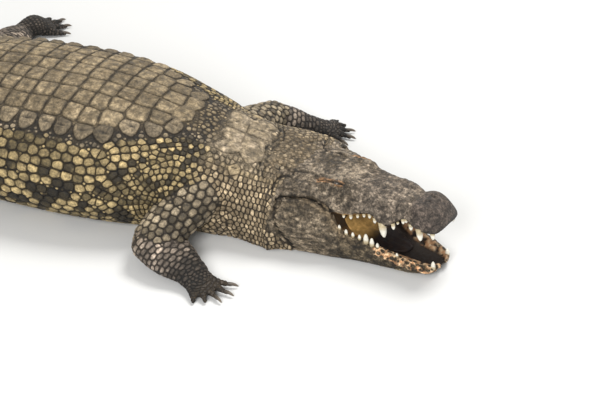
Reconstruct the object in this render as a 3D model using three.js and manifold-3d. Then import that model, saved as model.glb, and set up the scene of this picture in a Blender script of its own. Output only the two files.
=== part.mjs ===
// A large Nile crocodile at life size, on its belly, its head turned to its right and its jaws parted.
// Millimetres. +X runs forward along the trunk, +Y to the animal's left, +Z up.
// The origin is on the floor under the middle of the trunk.
import * as THREE from 'three';
import { mergeVertices } from 'three/addons/utils/BufferGeometryUtils.js';
import Module from 'manifold-3d';

const wasm = await Module();
wasm.setup();

// ---------------------------------------------------------------- driving sizes
const GAP = 0.3;               // clear space between neighbouring pieces
const TAIL_TIP = -2430;        // distances along the spine, from the middle of the trunk
const CREST_END = -2400;
const CREST_JOIN = -1640;      // two rows of scutes become one here
const CREST_START = -640;
const TRUNK_BACK = -560;
const HIP = -480;
const TRUNK_FRONT = 440;
const HEAD_START = 824;        // the jaw joint's place on the spine
const CREST_PITCH = 60;        // from scute to scute
const CREST_SINK = 12;         // how deep a scute is set in the tail
const CREST_HALF_THICKNESS = 6;
const BELLY_DEPTH = 0.52;      // how deep the belly would curve below the widest level, of the back's height
const JAW_JOINT_HEIGHT = 110;
const GAPE = 14;               // how far the upper jaw is raised, in degrees
const HEAD_LENGTH = 552;       // from the jaw joint to the snout's tip
const LOWER_TIP = 530;         // from the jaw joint to the lower jaw's tip
const TONGUE_THICKNESS = 16;
const EYE_RADIUS = 17;
const EYE_PLACE = { along: 190, aside: 73, up: 196 };
const LID_PLACE = { along: 194, aside: 64, up: 195 };
const LID_SIZES = [60, 26, 20]; // half the mound's length, width and height
const SOLE = 14;               // height of the toes' middle above the floor
const WEB_THICKNESS = 6;
const CLAW_LENGTH = 30;
const CLAW_HALF_WIDTH = 6;

// ---------------------------------------------------------------- facets
const SPINE_STEP = 5;
const BODY_SIDES = 22;
const NECK_RINGS = 6;
const TRUNK_RINGS = 9;
const TAIL_SIDES = 11;
const TAIL_RINGS = 4;
const LIMB_SIDES = 8;
const TOE_SIDES = 5;
const CLAW_SIDES = 4;
const TOOTH_SIDES = 4;
const BALL_SIDES = 8;
const BALL_RINGS = 5;

// ---------------------------------------------------------------- colours
const HIDES = {
  back: 0x625b49,
  head: 0x514b42,
  limb: 0x37332f,
  mouth: 0xb98a5c,
  eye: 0x4a3a22,
  claw: 0x1d1b19,
};

function hide(name, roughness = 0.75) {
  return new THREE.MeshStandardMaterial({ color: HIDES[name], roughness, metalness: 0 });
}

// ---------------------------------------------------------------- curves through named values
// A smooth curve through [place, value] pairs that doesn't overshoot them.
function smooth(table) {
  const last = table.length - 1;
  const rise = [];
  for (let i = 0; i < last; i++) {
    rise.push((table[i + 1][1] - table[i][1]) / (table[i + 1][0] - table[i][0]));
  }
  const slopes = table.map((pair, i) => {
    if (i === 0) return rise[0];
    if (i === last) return rise[last - 1];
    const product = rise[i - 1] * rise[i];
    return product > 0 ? (2 * product) / (rise[i - 1] + rise[i]) : 0;
  });
  return (at) => {
    let i = 0;
    while (i < last - 1 && at > table[i + 1][0]) i += 1;
    const width = table[i + 1][0] - table[i][0];
    const t = Math.min(Math.max((at - table[i][0]) / width, 0), 1);
    const keep = 1 - t;
    return table[i][1] * keep * keep * (1 + 2 * t) + table[i + 1][1] * t * t * (3 - 2 * t)
      + slopes[i] * width * t * keep * keep - slopes[i + 1] * width * t * t * keep;
  };
}

function mix(a, b, share) {
  return a + (b - a) * share;
}

// The spine's direction in degrees, by the distance along it.
const heading = smooth([
  [TAIL_TIP, -16], [-1950, 8], [-1250, 25], [-800, 12], [-450, 0], [480, 0], [570, 8], [700, 8],
  [HEAD_START, -14.5],
]);
const halfWidth = smooth([
  [TAIL_TIP, 5], [-2280, 15], [-1900, 38], [-1550, 68], [-1180, 112], [-850, 182], [-600, 262], [-450, 326],
  [-200, 366], [0, 370], [200, 350], [400, 296], [550, 249], [605, 229], [680, 238], [760, 250],
  [HEAD_START, 250],
]);
const backHeight = smooth([
  [TAIL_TIP, 24], [-2280, 48], [-1900, 94], [-1550, 142], [-1180, 200], [-850, 270], [-600, 338],
  [-450, 376], [-200, 396], [0, 400], [200, 388], [400, 352], [550, 310], [680, 270], [HEAD_START, 236],
]);
// The flank's widest level, as a share of the back's height. It is lowest where the throat rests.
const widestAt = smooth([[TAIL_TIP, 0.43], [440, 0.43], [640, 0.32], [720, 0.24], [HEAD_START, 0.22]]);
// 2 makes an elliptical section, and more a squarer one.
const squareness = smooth([[TAIL_TIP, 2.2], [-600, 2.3], [440, 2.3], [640, 2.6], [HEAD_START, 3.0]]);
const crestHeight = smooth([
  [CREST_END, 16], [-2200, 38], [-1750, 58], [CREST_JOIN, 52], [-1200, 40], [-800, 22], [CREST_START, 16],
]);
const crestSpread = smooth([[CREST_JOIN, 10], [-1400, 30], [-1000, 62], [CREST_START, 84]]);

// The head's sizes run from the jaw joint to the snout's tip, with the mouth shut.
const roofHeight = smooth([
  [-56, 232], [0, 232], [60, 230], [125, 221], [177, 214], [225, 202], [270, 190], [325, 178], [380, 167],
  [425, 150], [448, 145], [480, 146], [507, 141], [524, 131], [537, 116], [545, 103],
  [HEAD_LENGTH, 86],
]);
const roofHalfWidth = smooth([
  [-56, 108], [0, 106], [56, 103], [121, 96], [177, 95], [228, 84], [279, 72], [345, 67], [395, 66],
  [435, 56], [480, 62], [512, 57], [531, 47], [545, 31], [HEAD_LENGTH, 14],
]);
const upperHalfWidth = smooth([
  [-56, 186], [0, 184], [56, 175], [121, 158], [180, 140], [245, 118], [305, 102], [345, 99], [380, 98],
  [412, 82], [432, 71], [458, 75], [490, 81], [516, 81], [534, 71], [545, 53], [HEAD_LENGTH, 28],
]);
const toothLine = smooth([
  [-56, 160], [0, 160], [60, 164], [105, 162], [145, 143], [176, 126], [208, 111], [250, 105], [300, 110],
  [316, 109], [340, 78], [360, 70], [378, 73], [405, 87], [430, 94], [446, 76], [478, 61], [512, 55],
  [532, 52], [545, 57], [HEAD_LENGTH, 66],
]);
const palateRise = smooth([[-56, 2], [120, 4], [220, 14], [391, 16], [500, 12], [HEAD_LENGTH, 2]]);
const lowerHalfWidth = smooth([
  [-60, 200], [0, 248], [56, 216], [121, 191], [186, 165], [260, 136], [335, 112], [400, 96], [450, 84], [487, 72],
  [510, 58], [523, 40], [LOWER_TIP, 14],
]);
const lowerTop = smooth([
  [0, 170], [60, 196], [120, 206], [150, 192], [176, 158], [200, 128], [225, 104], [254, 96], [297, 87],
  [336, 73], [385, 63], [423, 53], [480, 43], [512, 40], [LOWER_TIP, 44],
]);
// How much of the lower jaw's width its upper edge keeps. The cheek leans in under the skull.
const lipShare = smooth([[0, 0.68], [120, 0.74], [204, 0.82], [400, 0.84], [LOWER_TIP, 0.9]]);
const lowerBase = smooth([[0, 0], [390, 0], [475, 6], [510, 14], [LOWER_TIP, 28]]);
// How much of the lower jaw's width rests on the floor.
const jawFlat = smooth([[0, 0.92], [180, 0.92], [260, 0.88], [400, 0.86], [LOWER_TIP, 0.72]]);
const mouthDepth = smooth([[0, 2], [150, 4], [200, 40], [279, 40], [390, 26], [470, 12], [LOWER_TIP, 4]]);

// ---------------------------------------------------------------- solids
// Joins equal rings of points into one closed surface, with a fan over each end.
function loft(rings) {
  const sides = rings[0].length;
  const centres = [rings[0], rings[rings.length - 1]].map((ring) => {
    const centre = new THREE.Vector3();
    for (const point of ring) centre.addScaledVector(point, 1 / sides);
    return centre;
  });
  const points = [...rings.flat(), ...centres];
  const startCentre = points.length - 2;
  const endCentre = points.length - 1;
  const endRing = (rings.length - 1) * sides;
  const faces = [];
  for (let side = 0; side < sides; side++) {
    const next = (side + 1) % sides;
    for (let ring = 0; ring < rings.length - 1; ring++) {
      const [near, far] = [ring * sides, (ring + 1) * sides];
      faces.push(near + side, near + next, far + next, near + side, far + next, far + side);
    }
    faces.push(startCentre, next, side, endCentre, endRing + side, endRing + next);
  }
  const places = points.flatMap((place) => place.toArray());
  const geometry = new THREE.BufferGeometry();
  geometry.setAttribute('position', new THREE.Float32BufferAttribute(places, 3));
  geometry.setIndex(faces);
  return geometry;
}

function toSolid(geometry) {
  const bare = geometry.clone();
  bare.deleteAttribute('normal');
  bare.deleteAttribute('uv');
  const merged = mergeVertices(bare, 1e-3);
  const solid = new wasm.Manifold(new wasm.Mesh({
    numProp: 3,
    vertProperties: new Float32Array(merged.attributes.position.array),
    triVerts: new Uint32Array(merged.index.array),
  }));
  return solid;
}

function toGeometry(solid) {
  const mesh = solid.getMesh();
  const geometry = new THREE.BufferGeometry();
  geometry.setAttribute('position', new THREE.BufferAttribute(new Float32Array(mesh.vertProperties), 3));
  geometry.setIndex(new THREE.BufferAttribute(new Uint32Array(mesh.triVerts), 1));
  geometry.computeVertexNormals();
  return geometry;
}

// The largest of a solid's separate bodies.
function largest(solid) {
  return solid.decompose().reduce((best, body) => (body.volume() > best.volume() ? body : best));
}

function aboveFloor(solid) {
  return solid.trimByPlane([0, 0, 1], 0);
}

// ---------------------------------------------------------------- neck, trunk and tail
// A place on the spine: its point on the floor, and the directions forward and to the left.
function spineAt(distance) {
  const place = new THREE.Vector3();
  const steps = Math.max(1, Math.ceil(Math.abs(distance) / SPINE_STEP));
  const step = distance / steps;
  for (let i = 0; i < steps; i++) {
    const angle = THREE.MathUtils.degToRad(heading((i + 0.5) * step));
    place.add(new THREE.Vector3(Math.cos(angle), Math.sin(angle), 0).multiplyScalar(step));
  }
  const angle = THREE.MathUtils.degToRad(heading(distance));
  const forward = new THREE.Vector3(Math.cos(angle), Math.sin(angle), 0);
  const left = new THREE.Vector3(-Math.sin(angle), Math.cos(angle), 0);
  return { place, forward, left };
}

// One ring round the body. The belly is pressed flat on the floor.
function bodyRing(distance, sides, grow) {
  const { place, left } = spineAt(distance);
  const width = halfWidth(distance) + grow;
  const top = backHeight(distance) + grow;
  const widest = top * widestAt(distance);
  const power = 2 / squareness(distance);
  const ring = [];
  for (let i = 0; i < sides; i++) {
    const angle = ((i + 0.5) / sides) * 2 * Math.PI;
    const across = Math.sign(Math.cos(angle)) * Math.abs(Math.cos(angle)) ** power * width;
    const lift = Math.abs(Math.sin(angle)) ** power;
    const rise = Math.sin(angle) > 0 ? top - widest : -top * BELLY_DEPTH;
    ring.push(place.clone().addScaledVector(left, across).setZ(Math.max(widest + rise * lift, -grow)));
  }
  return ring;
}

function bodyLength(from, to, count, sides, grow = 0) {
  const rings = [];
  for (let i = 0; i <= count; i++) {
    rings.push(bodyRing(mix(from - grow, to + grow, i / count), sides, grow));
  }
  return loft(rings);
}

// ---------------------------------------------------------------- tail
// How high the back's curve stands at a place beside its middle line.
function surfaceHeight(distance, across) {
  const widest = backHeight(distance) * widestAt(distance);
  const power = squareness(distance);
  const share = Math.min(Math.abs(across) / halfWidth(distance), 0.9);
  return widest + (backHeight(distance) - widest) * (1 - share ** power) ** (1 / power);
}

// One upright scute of the crest: a thin blade that leans back.
function crestScute(distance, across) {
  const { place, forward, left } = spineAt(distance);
  const foot = surfaceHeight(distance, across) - CREST_SINK;
  const top = CREST_SINK + crestHeight(distance);
  const reach = CREST_PITCH * 0.47;
  const outline = [[reach, 0], [-reach * 0.7, top], [-reach, 0]];
  const ring = (aside) => outline.map(([along, up]) => place.clone()
    .addScaledVector(forward, along).addScaledVector(left, across + aside * (1 - 0.6 * (up / top)))
    .setZ(foot + up));
  return toSolid(loft([ring(CREST_HALF_THICKNESS), ring(-CREST_HALF_THICKNESS)]));
}

// Keeps what lies behind (or with ahead, in front of) the plane across the spine at a distance.
function cutAcross(solid, distance, ahead) {
  const { place, forward } = spineAt(distance);
  const normal = forward.multiplyScalar(ahead ? 1 : -1);
  return solid.trimByPlane(normal.toArray(), normal.dot(place) + GAP / 2);
}

// One length of the tail with the scutes of its crest. Cuts fall between scutes.
function tailLength(from, to) {
  let solid = toSolid(bodyLength(to + GAP / 2, from - GAP / 2, TAIL_RINGS, TAIL_SIDES));
  const first = Math.max(0, Math.round((CREST_START - from) / CREST_PITCH));
  const last = Math.floor((CREST_START - Math.max(to, CREST_END)) / CREST_PITCH);
  for (let i = first; i < last; i++) {
    const distance = CREST_START - (i + 0.5) * CREST_PITCH;
    const rows = distance > CREST_JOIN ? [-crestSpread(distance), crestSpread(distance)] : [0];
    for (const across of rows) {
      solid = solid.add(crestScute(distance, across));
    }
  }
  return cutAcross(cutAcross(solid, from, false), to, true);
}

// ---------------------------------------------------------------- head
const jawFrame = spineAt(HEAD_START);

// Carries a point from the head's own sizes to its place: along, aside and up from under the jaw joint.
function headPoint(along, aside, up, raised) {
  const angle = raised ? THREE.MathUtils.degToRad(GAPE) : 0;
  const lift = up - JAW_JOINT_HEIGHT;
  const forward = along * Math.cos(angle) - lift * Math.sin(angle);
  const height = JAW_JOINT_HEIGHT + lift * Math.cos(angle) + along * Math.sin(angle);
  return jawFrame.place.clone()
    .addScaledVector(jawFrame.forward, forward).addScaledVector(jawFrame.left, aside).setZ(height);
}

// Half of the upper jaw's section, from the middle of the roof, down the side, to the palate's middle.
function upperSection(along, grow) {
  const top = roofHeight(along) + grow;
  const flat = roofHalfWidth(along) + grow / 2;
  const lip = upperHalfWidth(along) + grow;
  const line = toothLine(along) - grow;
  const height = top - line;
  return [
    [0, top], [flat * 0.75, top], [flat, top - 0.08 * height], [mix(flat, lip, 0.5), top - 0.42 * height],
    [mix(flat, lip, 0.92), line + 0.32 * height], [lip, line + 0.1 * height], [lip * 0.93, line],
    [lip * 0.74, line + palateRise(along) * 0.6], [0, line + palateRise(along)],
  ];
}

// Half of the lower jaw's section, from the middle of the mouth's floor, over the lip, to under the chin.
function lowerSection(along, grow) {
  const wide = lowerHalfWidth(along) + grow;
  const edge = wide * lipShare(along);
  const top = lowerTop(along) + grow;
  const base = lowerBase(along) - grow;
  const height = top - base;
  const bed = top - mouthDepth(along);
  return [
    [0, bed], [edge * 0.62, bed], [edge * 0.88, mix(bed, top, 0.7)], [edge, top],
    [mix(edge, wide, 0.8), top - 0.2 * height], [wide * 1.03, base + 0.5 * height],
    [wide * mix(jawFlat(along), 1, 0.6), base + 0.14 * height], [wide * jawFlat(along), base], [0, base],
  ];
}

function jawLoft(section, stations, raised, grow = 0) {
  const rings = stations.map((along) => {
    const half = section(along, grow);
    const other = half.slice(1, -1).reverse().map(([aside, up]) => [-aside, up]);
    return [...half, ...other].map(([aside, up]) => headPoint(along, aside, up, raised)).reverse();
  });
  return toSolid(loft(rings));
}

const UPPER_STATIONS = [
  -56, 0, 60, 110, 145, 177, 208, 250, 286, 316, 340, 378, 405, 430, 450, 480, 512, 532, 545, HEAD_LENGTH,
];
const LOWER_STATIONS = [-20, 60, 120, 150, 176, 200, 225, 297, 336, 385, 423, 480, 510, 523, LOWER_TIP];
// Each side's teeth, as [place along the jaw, length out of the gum]. Some of the lower ones are lost.
const UPPER_TEETH = [
  [224, 9], [247, 12], [270, 10], [292, 10], [312, 12], [328, 14], [353, 38], [393, 16], [407, 7], [422, 14],
  [432, 11], [447, 17], [481, 32], [521, 22],
];
const LOWER_TEETH = [
  [210, 11], [232, 13], [254, 12], [276, 13], [297, 26], [317, 22], [336, 14], [403, 9], [518, 19],
];

// A tooth: a cone on the jaw's edge, pointing up or down and a little outwards and forward.
function tooth(along, aside, edge, length, raised) {
  const down = raised ? -1 : 1;
  const outward = aside + Math.sign(aside) * length * 0.14;
  const root = headPoint(along, aside, edge - down * length * 0.3, raised);
  const tip = headPoint(along + length * 0.1, outward, edge + down * length, raised);
  const axis = tip.clone().sub(root);
  const cone = new THREE.ConeGeometry(length * 0.24 + 1.5, axis.length(), TOOTH_SIDES, 1);
  cone.applyQuaternion(new THREE.Quaternion().setFromUnitVectors(point(0, 1, 0), axis.normalize()));
  const middle = root.add(tip).multiplyScalar(0.5);
  cone.translate(middle.x, middle.y, middle.z);
  return toSolid(cone);
}

// Both rows of one jaw's teeth.
function withTeeth(solid, teeth, asideAt, edgeAt, raised) {
  let toothed = solid;
  for (const [along, length] of teeth) {
    for (const side of [-1, 1]) {
      toothed = toothed.add(tooth(along, side * asideAt(along), edgeAt(along), length, raised));
    }
  }
  return toothed;
}

function eyeball(side, grow = 0) {
  const ball = new THREE.SphereGeometry(EYE_RADIUS + grow, BALL_SIDES, BALL_RINGS);
  const centre = headPoint(EYE_PLACE.along, side * EYE_PLACE.aside, EYE_PLACE.up, true);
  ball.translate(centre.x, centre.y, centre.z);
  return toSolid(ball);
}

// The raised lids over and round one eye.
function lid(side) {
  const mound = new THREE.SphereGeometry(1, BALL_SIDES, BALL_RINGS);
  mound.scale(...LID_SIZES);
  mound.rotateY(-THREE.MathUtils.degToRad(GAPE));
  mound.rotateZ(Math.atan2(jawFrame.forward.y, jawFrame.forward.x));
  const centre = headPoint(LID_PLACE.along, side * LID_PLACE.aside, LID_PLACE.up, true);
  mound.translate(centre.x, centre.y, centre.z);
  return toSolid(mound);
}

function buildHead() {
  let solid = jawLoft(upperSection, UPPER_STATIONS, true).add(lid(-1)).add(lid(1));
  solid = solid.subtract(eyeball(-1, GAP)).subtract(eyeball(1, GAP));
  const asideAt = (along) => upperHalfWidth(along) * (along > 500 ? 0.76 : 0.93);
  solid = withTeeth(solid, UPPER_TEETH, asideAt, toothLine, true);
  return largest(cutAcross(solid, HEAD_START, true));
}

function buildLowerJaw(headSolid) {
  let solid = jawLoft(lowerSection, LOWER_STATIONS, false);
  const asideAt = (along) => lowerHalfWidth(along) * lipShare(along);
  solid = withTeeth(solid, LOWER_TEETH, asideAt, lowerTop, false);
  const upper = jawLoft(upperSection, UPPER_STATIONS, true, GAP);
  return largest(aboveFloor(cutAcross(solid, HEAD_START, true)).subtract(upper).subtract(headSolid));
}

const TONGUE_STATIONS = [200, 225, 297, 336, 385];

function buildTongue() {
  const rings = TONGUE_STATIONS.map((along) => {
    const width = lowerHalfWidth(along) * 0.46;
    const bed = lowerTop(along) - mouthDepth(along) + GAP;
    const half = [
      [width, bed], [width * 0.9, bed + TONGUE_THICKNESS * 0.6], [width * 0.4, bed + TONGUE_THICKNESS],
    ];
    const other = half.slice().reverse().map(([aside, up]) => [-aside, up]);
    return [...half, ...other].map(([aside, up]) => headPoint(along, aside, up, false));
  });
  return toSolid(loft(rings));
}

// ---------------------------------------------------------------- legs
const ROUND_REACH = 0.7;       // how far a rounded end stands out, as a share of its half-height
const ROUND_SHARE = 0.62;      // and the size of the facet that closes it

// A length of limb through centres, each with its half-width and half-height, its ends rounded or flat.
function limbLength(centres, halves, sides, grow = 0, rounded = true) {
  const up = point(0, 0, 1);
  const rings = centres.map((centre, i) => {
    const before = centres[Math.max(i - 1, 0)];
    const after = centres[Math.min(i + 1, centres.length - 1)];
    const along = after.clone().sub(before).normalize();
    const across = up.clone().cross(along).normalize();
    const lift = along.clone().cross(across);
    return { centre, along, across, lift, wide: halves[i][0] + grow, tall: halves[i][1] + grow };
  });
  const cap = (end, direction) => ({
    ...end,
    centre: end.centre.clone().addScaledVector(end.along, direction * ROUND_REACH * end.tall),
    wide: end.wide * ROUND_SHARE,
    tall: end.tall * ROUND_SHARE,
  });
  const all = rounded ? [cap(rings[0], -1), ...rings, cap(rings[rings.length - 1], 1)] : rings;
  return loft(all.map(({ centre, across, lift, wide, tall }) => {
    const ring = [];
    for (let i = 0; i < sides; i++) {
      const angle = ((i + 0.5) / sides) * 2 * Math.PI;
      ring.push(centre.clone().addScaledVector(across, Math.cos(angle) * wide)
        .addScaledVector(lift, Math.sin(angle) * tall));
    }
    return ring;
  }));
}

function point(x, y, z) {
  return new THREE.Vector3(x, y, z);
}

// Each leg's joints, the half-widths of its lengths, and its foot's heading in degrees and size.
// `broad` is how much wider than high the lower leg is, `arch` how far the palm's
// middle is raised, and `reach` the share of the foot's length that its drawn-in toes leave.
const FRONT_DIGITS = {
  lengths: [76, 82, 76, 70, 60], spread: [44, 22, 1, -20, -42], halfWidth: 13, clawed: 3, webbed: 0.22,
};
const HIND_DIGITS = {
  lengths: [108, 126, 134, 116], spread: [36, 12, -8, -27], halfWidth: 17, clawed: 3, webbed: 0.62,
};
const FRONT_HALVES = { root: 84, middle: 68, joint: 58, end: 38 };
const HIND_HALVES = { root: 124, middle: 98, joint: 68, end: 36 };
const FRONT_PALM = { length: 78, halfWidth: 50 };
const HIND_PALM = { length: 132, halfWidth: 56 };
const LEGS = [
  {
    names: ['upper_arm_right', 'forearm_right', 'hand_right'], side: -1, heading: -30, palm: FRONT_PALM,
    digits: FRONT_DIGITS, halves: FRONT_HALVES, broad: 1.6, arch: 0, reach: 1,
    root: point(512, -190, 170), joint: point(430, -382, 72), end: point(592, -446, 36),
  },
  {
    names: ['upper_arm_left', 'forearm_left', 'hand_left'], side: 1, heading: 24, palm: FRONT_PALM,
    digits: FRONT_DIGITS, halves: FRONT_HALVES, broad: 1.15, arch: 0, reach: 1,
    root: point(484, 190, 160), joint: point(522, 444, 86), end: point(646, 508, 36),
  },
  {
    names: ['thigh_right', 'shank_right', 'foot_right'], side: -1, heading: -58, palm: HIND_PALM,
    digits: HIND_DIGITS, halves: HIND_HALVES, broad: 1.1, arch: 0, reach: 1,
    root: point(HIP, -170, 196), joint: point(-380, -456, 136), end: point(-524, -626, 42),
  },
  {
    names: ['thigh_left', 'shank_left', 'foot_left'], side: 1, heading: 58, palm: HIND_PALM,
    digits: HIND_DIGITS, halves: HIND_HALVES, broad: 1.2, arch: 20, reach: 0.78,
    root: point(HIP, 170, 196), joint: point(-612, 488, 96), end: point(-662, 757, 34),
  },
];

function alongFoot(leg, angle, distance, height) {
  const turn = THREE.MathUtils.degToRad(leg.heading + angle);
  return point(leg.end.x + Math.cos(turn) * distance, leg.end.y + Math.sin(turn) * distance, height);
}

// The toes' centre lines. The first toe is on the side that faces the animal's middle.
function toePath(leg, toe) {
  const angle = leg.digits.spread[toe] * -leg.side;
  const start = alongFoot(leg, angle * 0.55, leg.palm.length * leg.reach * 0.75, SOLE + 4);
  const turn = THREE.MathUtils.degToRad(leg.heading + angle);
  const direction = point(Math.cos(turn), Math.sin(turn), 0);
  const length = leg.digits.lengths[toe] * leg.reach;
  const middle = start.clone().addScaledVector(direction, length * 0.55).setZ(SOLE + 4);
  const tip = start.clone().addScaledVector(direction, length).setZ(SOLE - 4);
  return { path: [start, middle, tip], direction };
}

// The skin between the toes, as one thin fan.
function web(leg, grow) {
  const outline = [leg.end.clone()];
  for (let toe = 0; toe < leg.digits.lengths.length; toe++) {
    const { path } = toePath(leg, toe);
    outline.push(path[0].clone().lerp(path[2], leg.digits.webbed));
  }
  const shape = new THREE.Shape(outline.map((corner) => new THREE.Vector2(corner.x, corner.y)));
  const thickness = WEB_THICKNESS + 2 * grow;
  const fan = new THREE.ExtrudeGeometry(shape, { depth: thickness, bevelEnabled: false });
  fan.translate(0, 0, SOLE - thickness / 2);
  return toSolid(fan);
}

function footSolid(leg, grow = 0) {
  const length = leg.palm.length * leg.reach;
  const palmWidth = leg.palm.halfWidth * mix(1, leg.broad, 0.5);
  const palm = [
    leg.end, alongFoot(leg, 0, length * 0.5, 26 + leg.arch), alongFoot(leg, 0, length, SOLE + 5 + leg.arch * 0.4),
  ];
  const palmHalves = [
    [leg.halves.end * leg.broad, leg.halves.end * 0.95], [palmWidth * 0.85, 27 + leg.arch * 0.5],
    [palmWidth, 17 + leg.arch * 0.4],
  ];
  let solid = toSolid(limbLength(palm, palmHalves, LIMB_SIDES, grow));
  const width = leg.digits.halfWidth;
  const toeHalves = [[width, 14], [width, 13], [width * 0.6, 7]];
  for (let toe = 0; toe < leg.digits.lengths.length; toe++) {
    const { path, direction } = toePath(leg, toe);
    const nose = path[2].clone().addScaledVector(direction, 4);
    solid = solid.add(toSolid(limbLength([path[0], path[1], nose], toeHalves, TOE_SIDES, grow, false)));
  }
  return solid.add(web(leg, grow));
}

function claw(leg, toe) {
  const { path, direction } = toePath(leg, toe);
  const centres = [[-4, -2], [14, -2], [CLAW_LENGTH, -9]].map(
    ([reach, rise]) => path[2].clone().addScaledVector(direction, reach).setZ(SOLE + rise),
  );
  const halves = [1, 0.8, 0.15].map((share) => [CLAW_HALF_WIDTH * share, CLAW_HALF_WIDTH * share]);
  return toSolid(limbLength(centres, halves, CLAW_SIDES, 0, false));
}

function upperLeg(leg, grow = 0) {
  const middle = leg.root.clone().lerp(leg.joint, 0.55);
  const halves = [leg.halves.root, leg.halves.middle, leg.halves.joint].map(
    (half) => [half * mix(1, leg.broad, 0.5), half],
  );
  return toSolid(limbLength([leg.root, middle, leg.joint], halves, LIMB_SIDES, grow));
}

function lowerLeg(leg, grow = 0) {
  const middle = leg.joint.clone().lerp(leg.end, 0.45);
  const { joint, end } = leg.halves;
  const halves = [
    [joint * 0.9 * leg.broad, joint * 0.9], [joint * 0.95 * leg.broad, joint * 0.85],
    [end * leg.broad, end * 0.92],
  ];
  return toSolid(limbLength([leg.joint, middle, leg.end], halves, LIMB_SIDES, grow));
}

// ---------------------------------------------------------------- the animal
const crocodile = new THREE.Group();

function addPart(name, solid, material) {
  const mesh = new THREE.Mesh(toGeometry(solid), material);
  mesh.name = name;
  crocodile.add(mesh);
}

const head = buildHead();
addPart('head', head, hide('head'));
addPart('lower_jaw', buildLowerJaw(head), hide('head'));
addPart('tongue', buildTongue(), hide('mouth', 0.4));
addPart('eye_right', eyeball(-1), hide('eye', 0.1));
addPart('eye_left', eyeball(1), hide('eye', 0.1));

const HALF_GAP = GAP / 2;
const SCUTES_BEFORE_CUTS = [6, 11, 17, 23];
const TAIL_CUTS = [
  TRUNK_BACK, ...SCUTES_BEFORE_CUTS.map((count) => CREST_START - count * CREST_PITCH), TAIL_TIP,
];

function neck(grow) {
  return toSolid(bodyLength(TRUNK_FRONT + HALF_GAP, HEAD_START - HALF_GAP, NECK_RINGS, BODY_SIDES, grow));
}

function trunk(grow) {
  return toSolid(bodyLength(TRUNK_BACK + HALF_GAP, TRUNK_FRONT - HALF_GAP, TRUNK_RINGS, BODY_SIDES, grow));
}

function tailBase(grow) {
  const [from, to] = [TAIL_CUTS[1] + HALF_GAP, TAIL_CUTS[0] - HALF_GAP];
  return toSolid(bodyLength(from, to, TAIL_RINGS, TAIL_SIDES, grow));
}

addPart('neck', neck(0), hide('back'));
addPart('trunk', trunk(0), hide('back'));
for (let i = 0; i < TAIL_CUTS.length - 1; i++) {
  addPart(`tail_${i + 1}`, tailLength(TAIL_CUTS[i], TAIL_CUTS[i + 1]), hide('back'));
}

// What the legs are cut by, so that they meet the body with a thin gap.
const bodySpace = neck(GAP).add(trunk(GAP)).add(tailBase(GAP));
for (const leg of LEGS) {
  const [upperName, lowerName, footName] = leg.names;
  const upperSpace = upperLeg(leg, GAP);
  const lower = lowerLeg(leg).subtract(upperSpace).subtract(bodySpace);
  const foot = footSolid(leg).subtract(lowerLeg(leg, GAP)).subtract(upperSpace);
  addPart(upperName, largest(aboveFloor(upperLeg(leg)).subtract(bodySpace)), hide('back'));
  addPart(lowerName, largest(aboveFloor(lower)), hide('limb'));
  addPart(footName, largest(aboveFloor(foot)), hide('limb'));
  const footSpace = footSolid(leg, GAP);
  for (let toe = 0; toe < leg.digits.clawed; toe++) {
    const clawSolid = largest(aboveFloor(claw(leg, toe)).subtract(footSpace));
    addPart(`claw_${footName}_${toe + 1}`, clawSolid, hide('claw', 0.35));
  }
}

export default crocodile;
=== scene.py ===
"""A large Nile crocodile at life size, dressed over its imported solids: skin, scales, eyes, teeth and claws.

Sizes are in millimetres, as in the part's own source, and MM turns them into metres. The head's own sizes run
along from the jaw joint to the snout, aside from the middle line, and up from the floor with the mouth shut.
"""
import math
from itertools import product

import bmesh
import bpy
import numpy as np
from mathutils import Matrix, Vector
from mathutils.bvhtree import BVHTree
from mathutils.kdtree import KDTree


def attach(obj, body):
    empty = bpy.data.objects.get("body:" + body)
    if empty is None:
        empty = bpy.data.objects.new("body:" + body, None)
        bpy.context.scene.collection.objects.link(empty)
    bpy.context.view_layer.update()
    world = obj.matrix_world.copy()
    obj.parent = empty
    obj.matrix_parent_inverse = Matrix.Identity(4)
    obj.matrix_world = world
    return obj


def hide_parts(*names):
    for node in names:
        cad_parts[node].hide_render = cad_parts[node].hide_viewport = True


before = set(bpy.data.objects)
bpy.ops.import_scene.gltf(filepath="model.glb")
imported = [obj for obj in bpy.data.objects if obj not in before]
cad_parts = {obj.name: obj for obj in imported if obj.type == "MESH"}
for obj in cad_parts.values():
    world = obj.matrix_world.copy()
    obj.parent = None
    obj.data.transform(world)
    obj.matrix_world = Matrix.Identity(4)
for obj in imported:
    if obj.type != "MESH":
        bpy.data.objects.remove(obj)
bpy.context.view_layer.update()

MM = 0.001
RNG = np.random.default_rng(7)

# ------------------------------------------------------------------ driving sizes, as in the solids
TAIL_TIP = -2430
CREST_END = -2400
CREST_JOIN = -1640
CREST_START = -640
CREST_PITCH = 60
CREST_SINK = 12
CREST_HALF_THICKNESS = 6
HIP = -480
HEAD_START = 824
JAW_JOINT_HEIGHT = 110
GAPE = math.radians(14)
HEAD_LENGTH = 552
LOWER_TIP = 530
BELLY_DEPTH = 0.52
EYE_RADIUS = 17
EYE_PLACE = (190, 73, 196)
LID_PLACE = (194, 64, 195)
LID_SIZES = (60, 26, 20)
SOLE = 14
COAT = 4.0                     # the scales' mean height, which the skin lies inside the solids by


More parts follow.
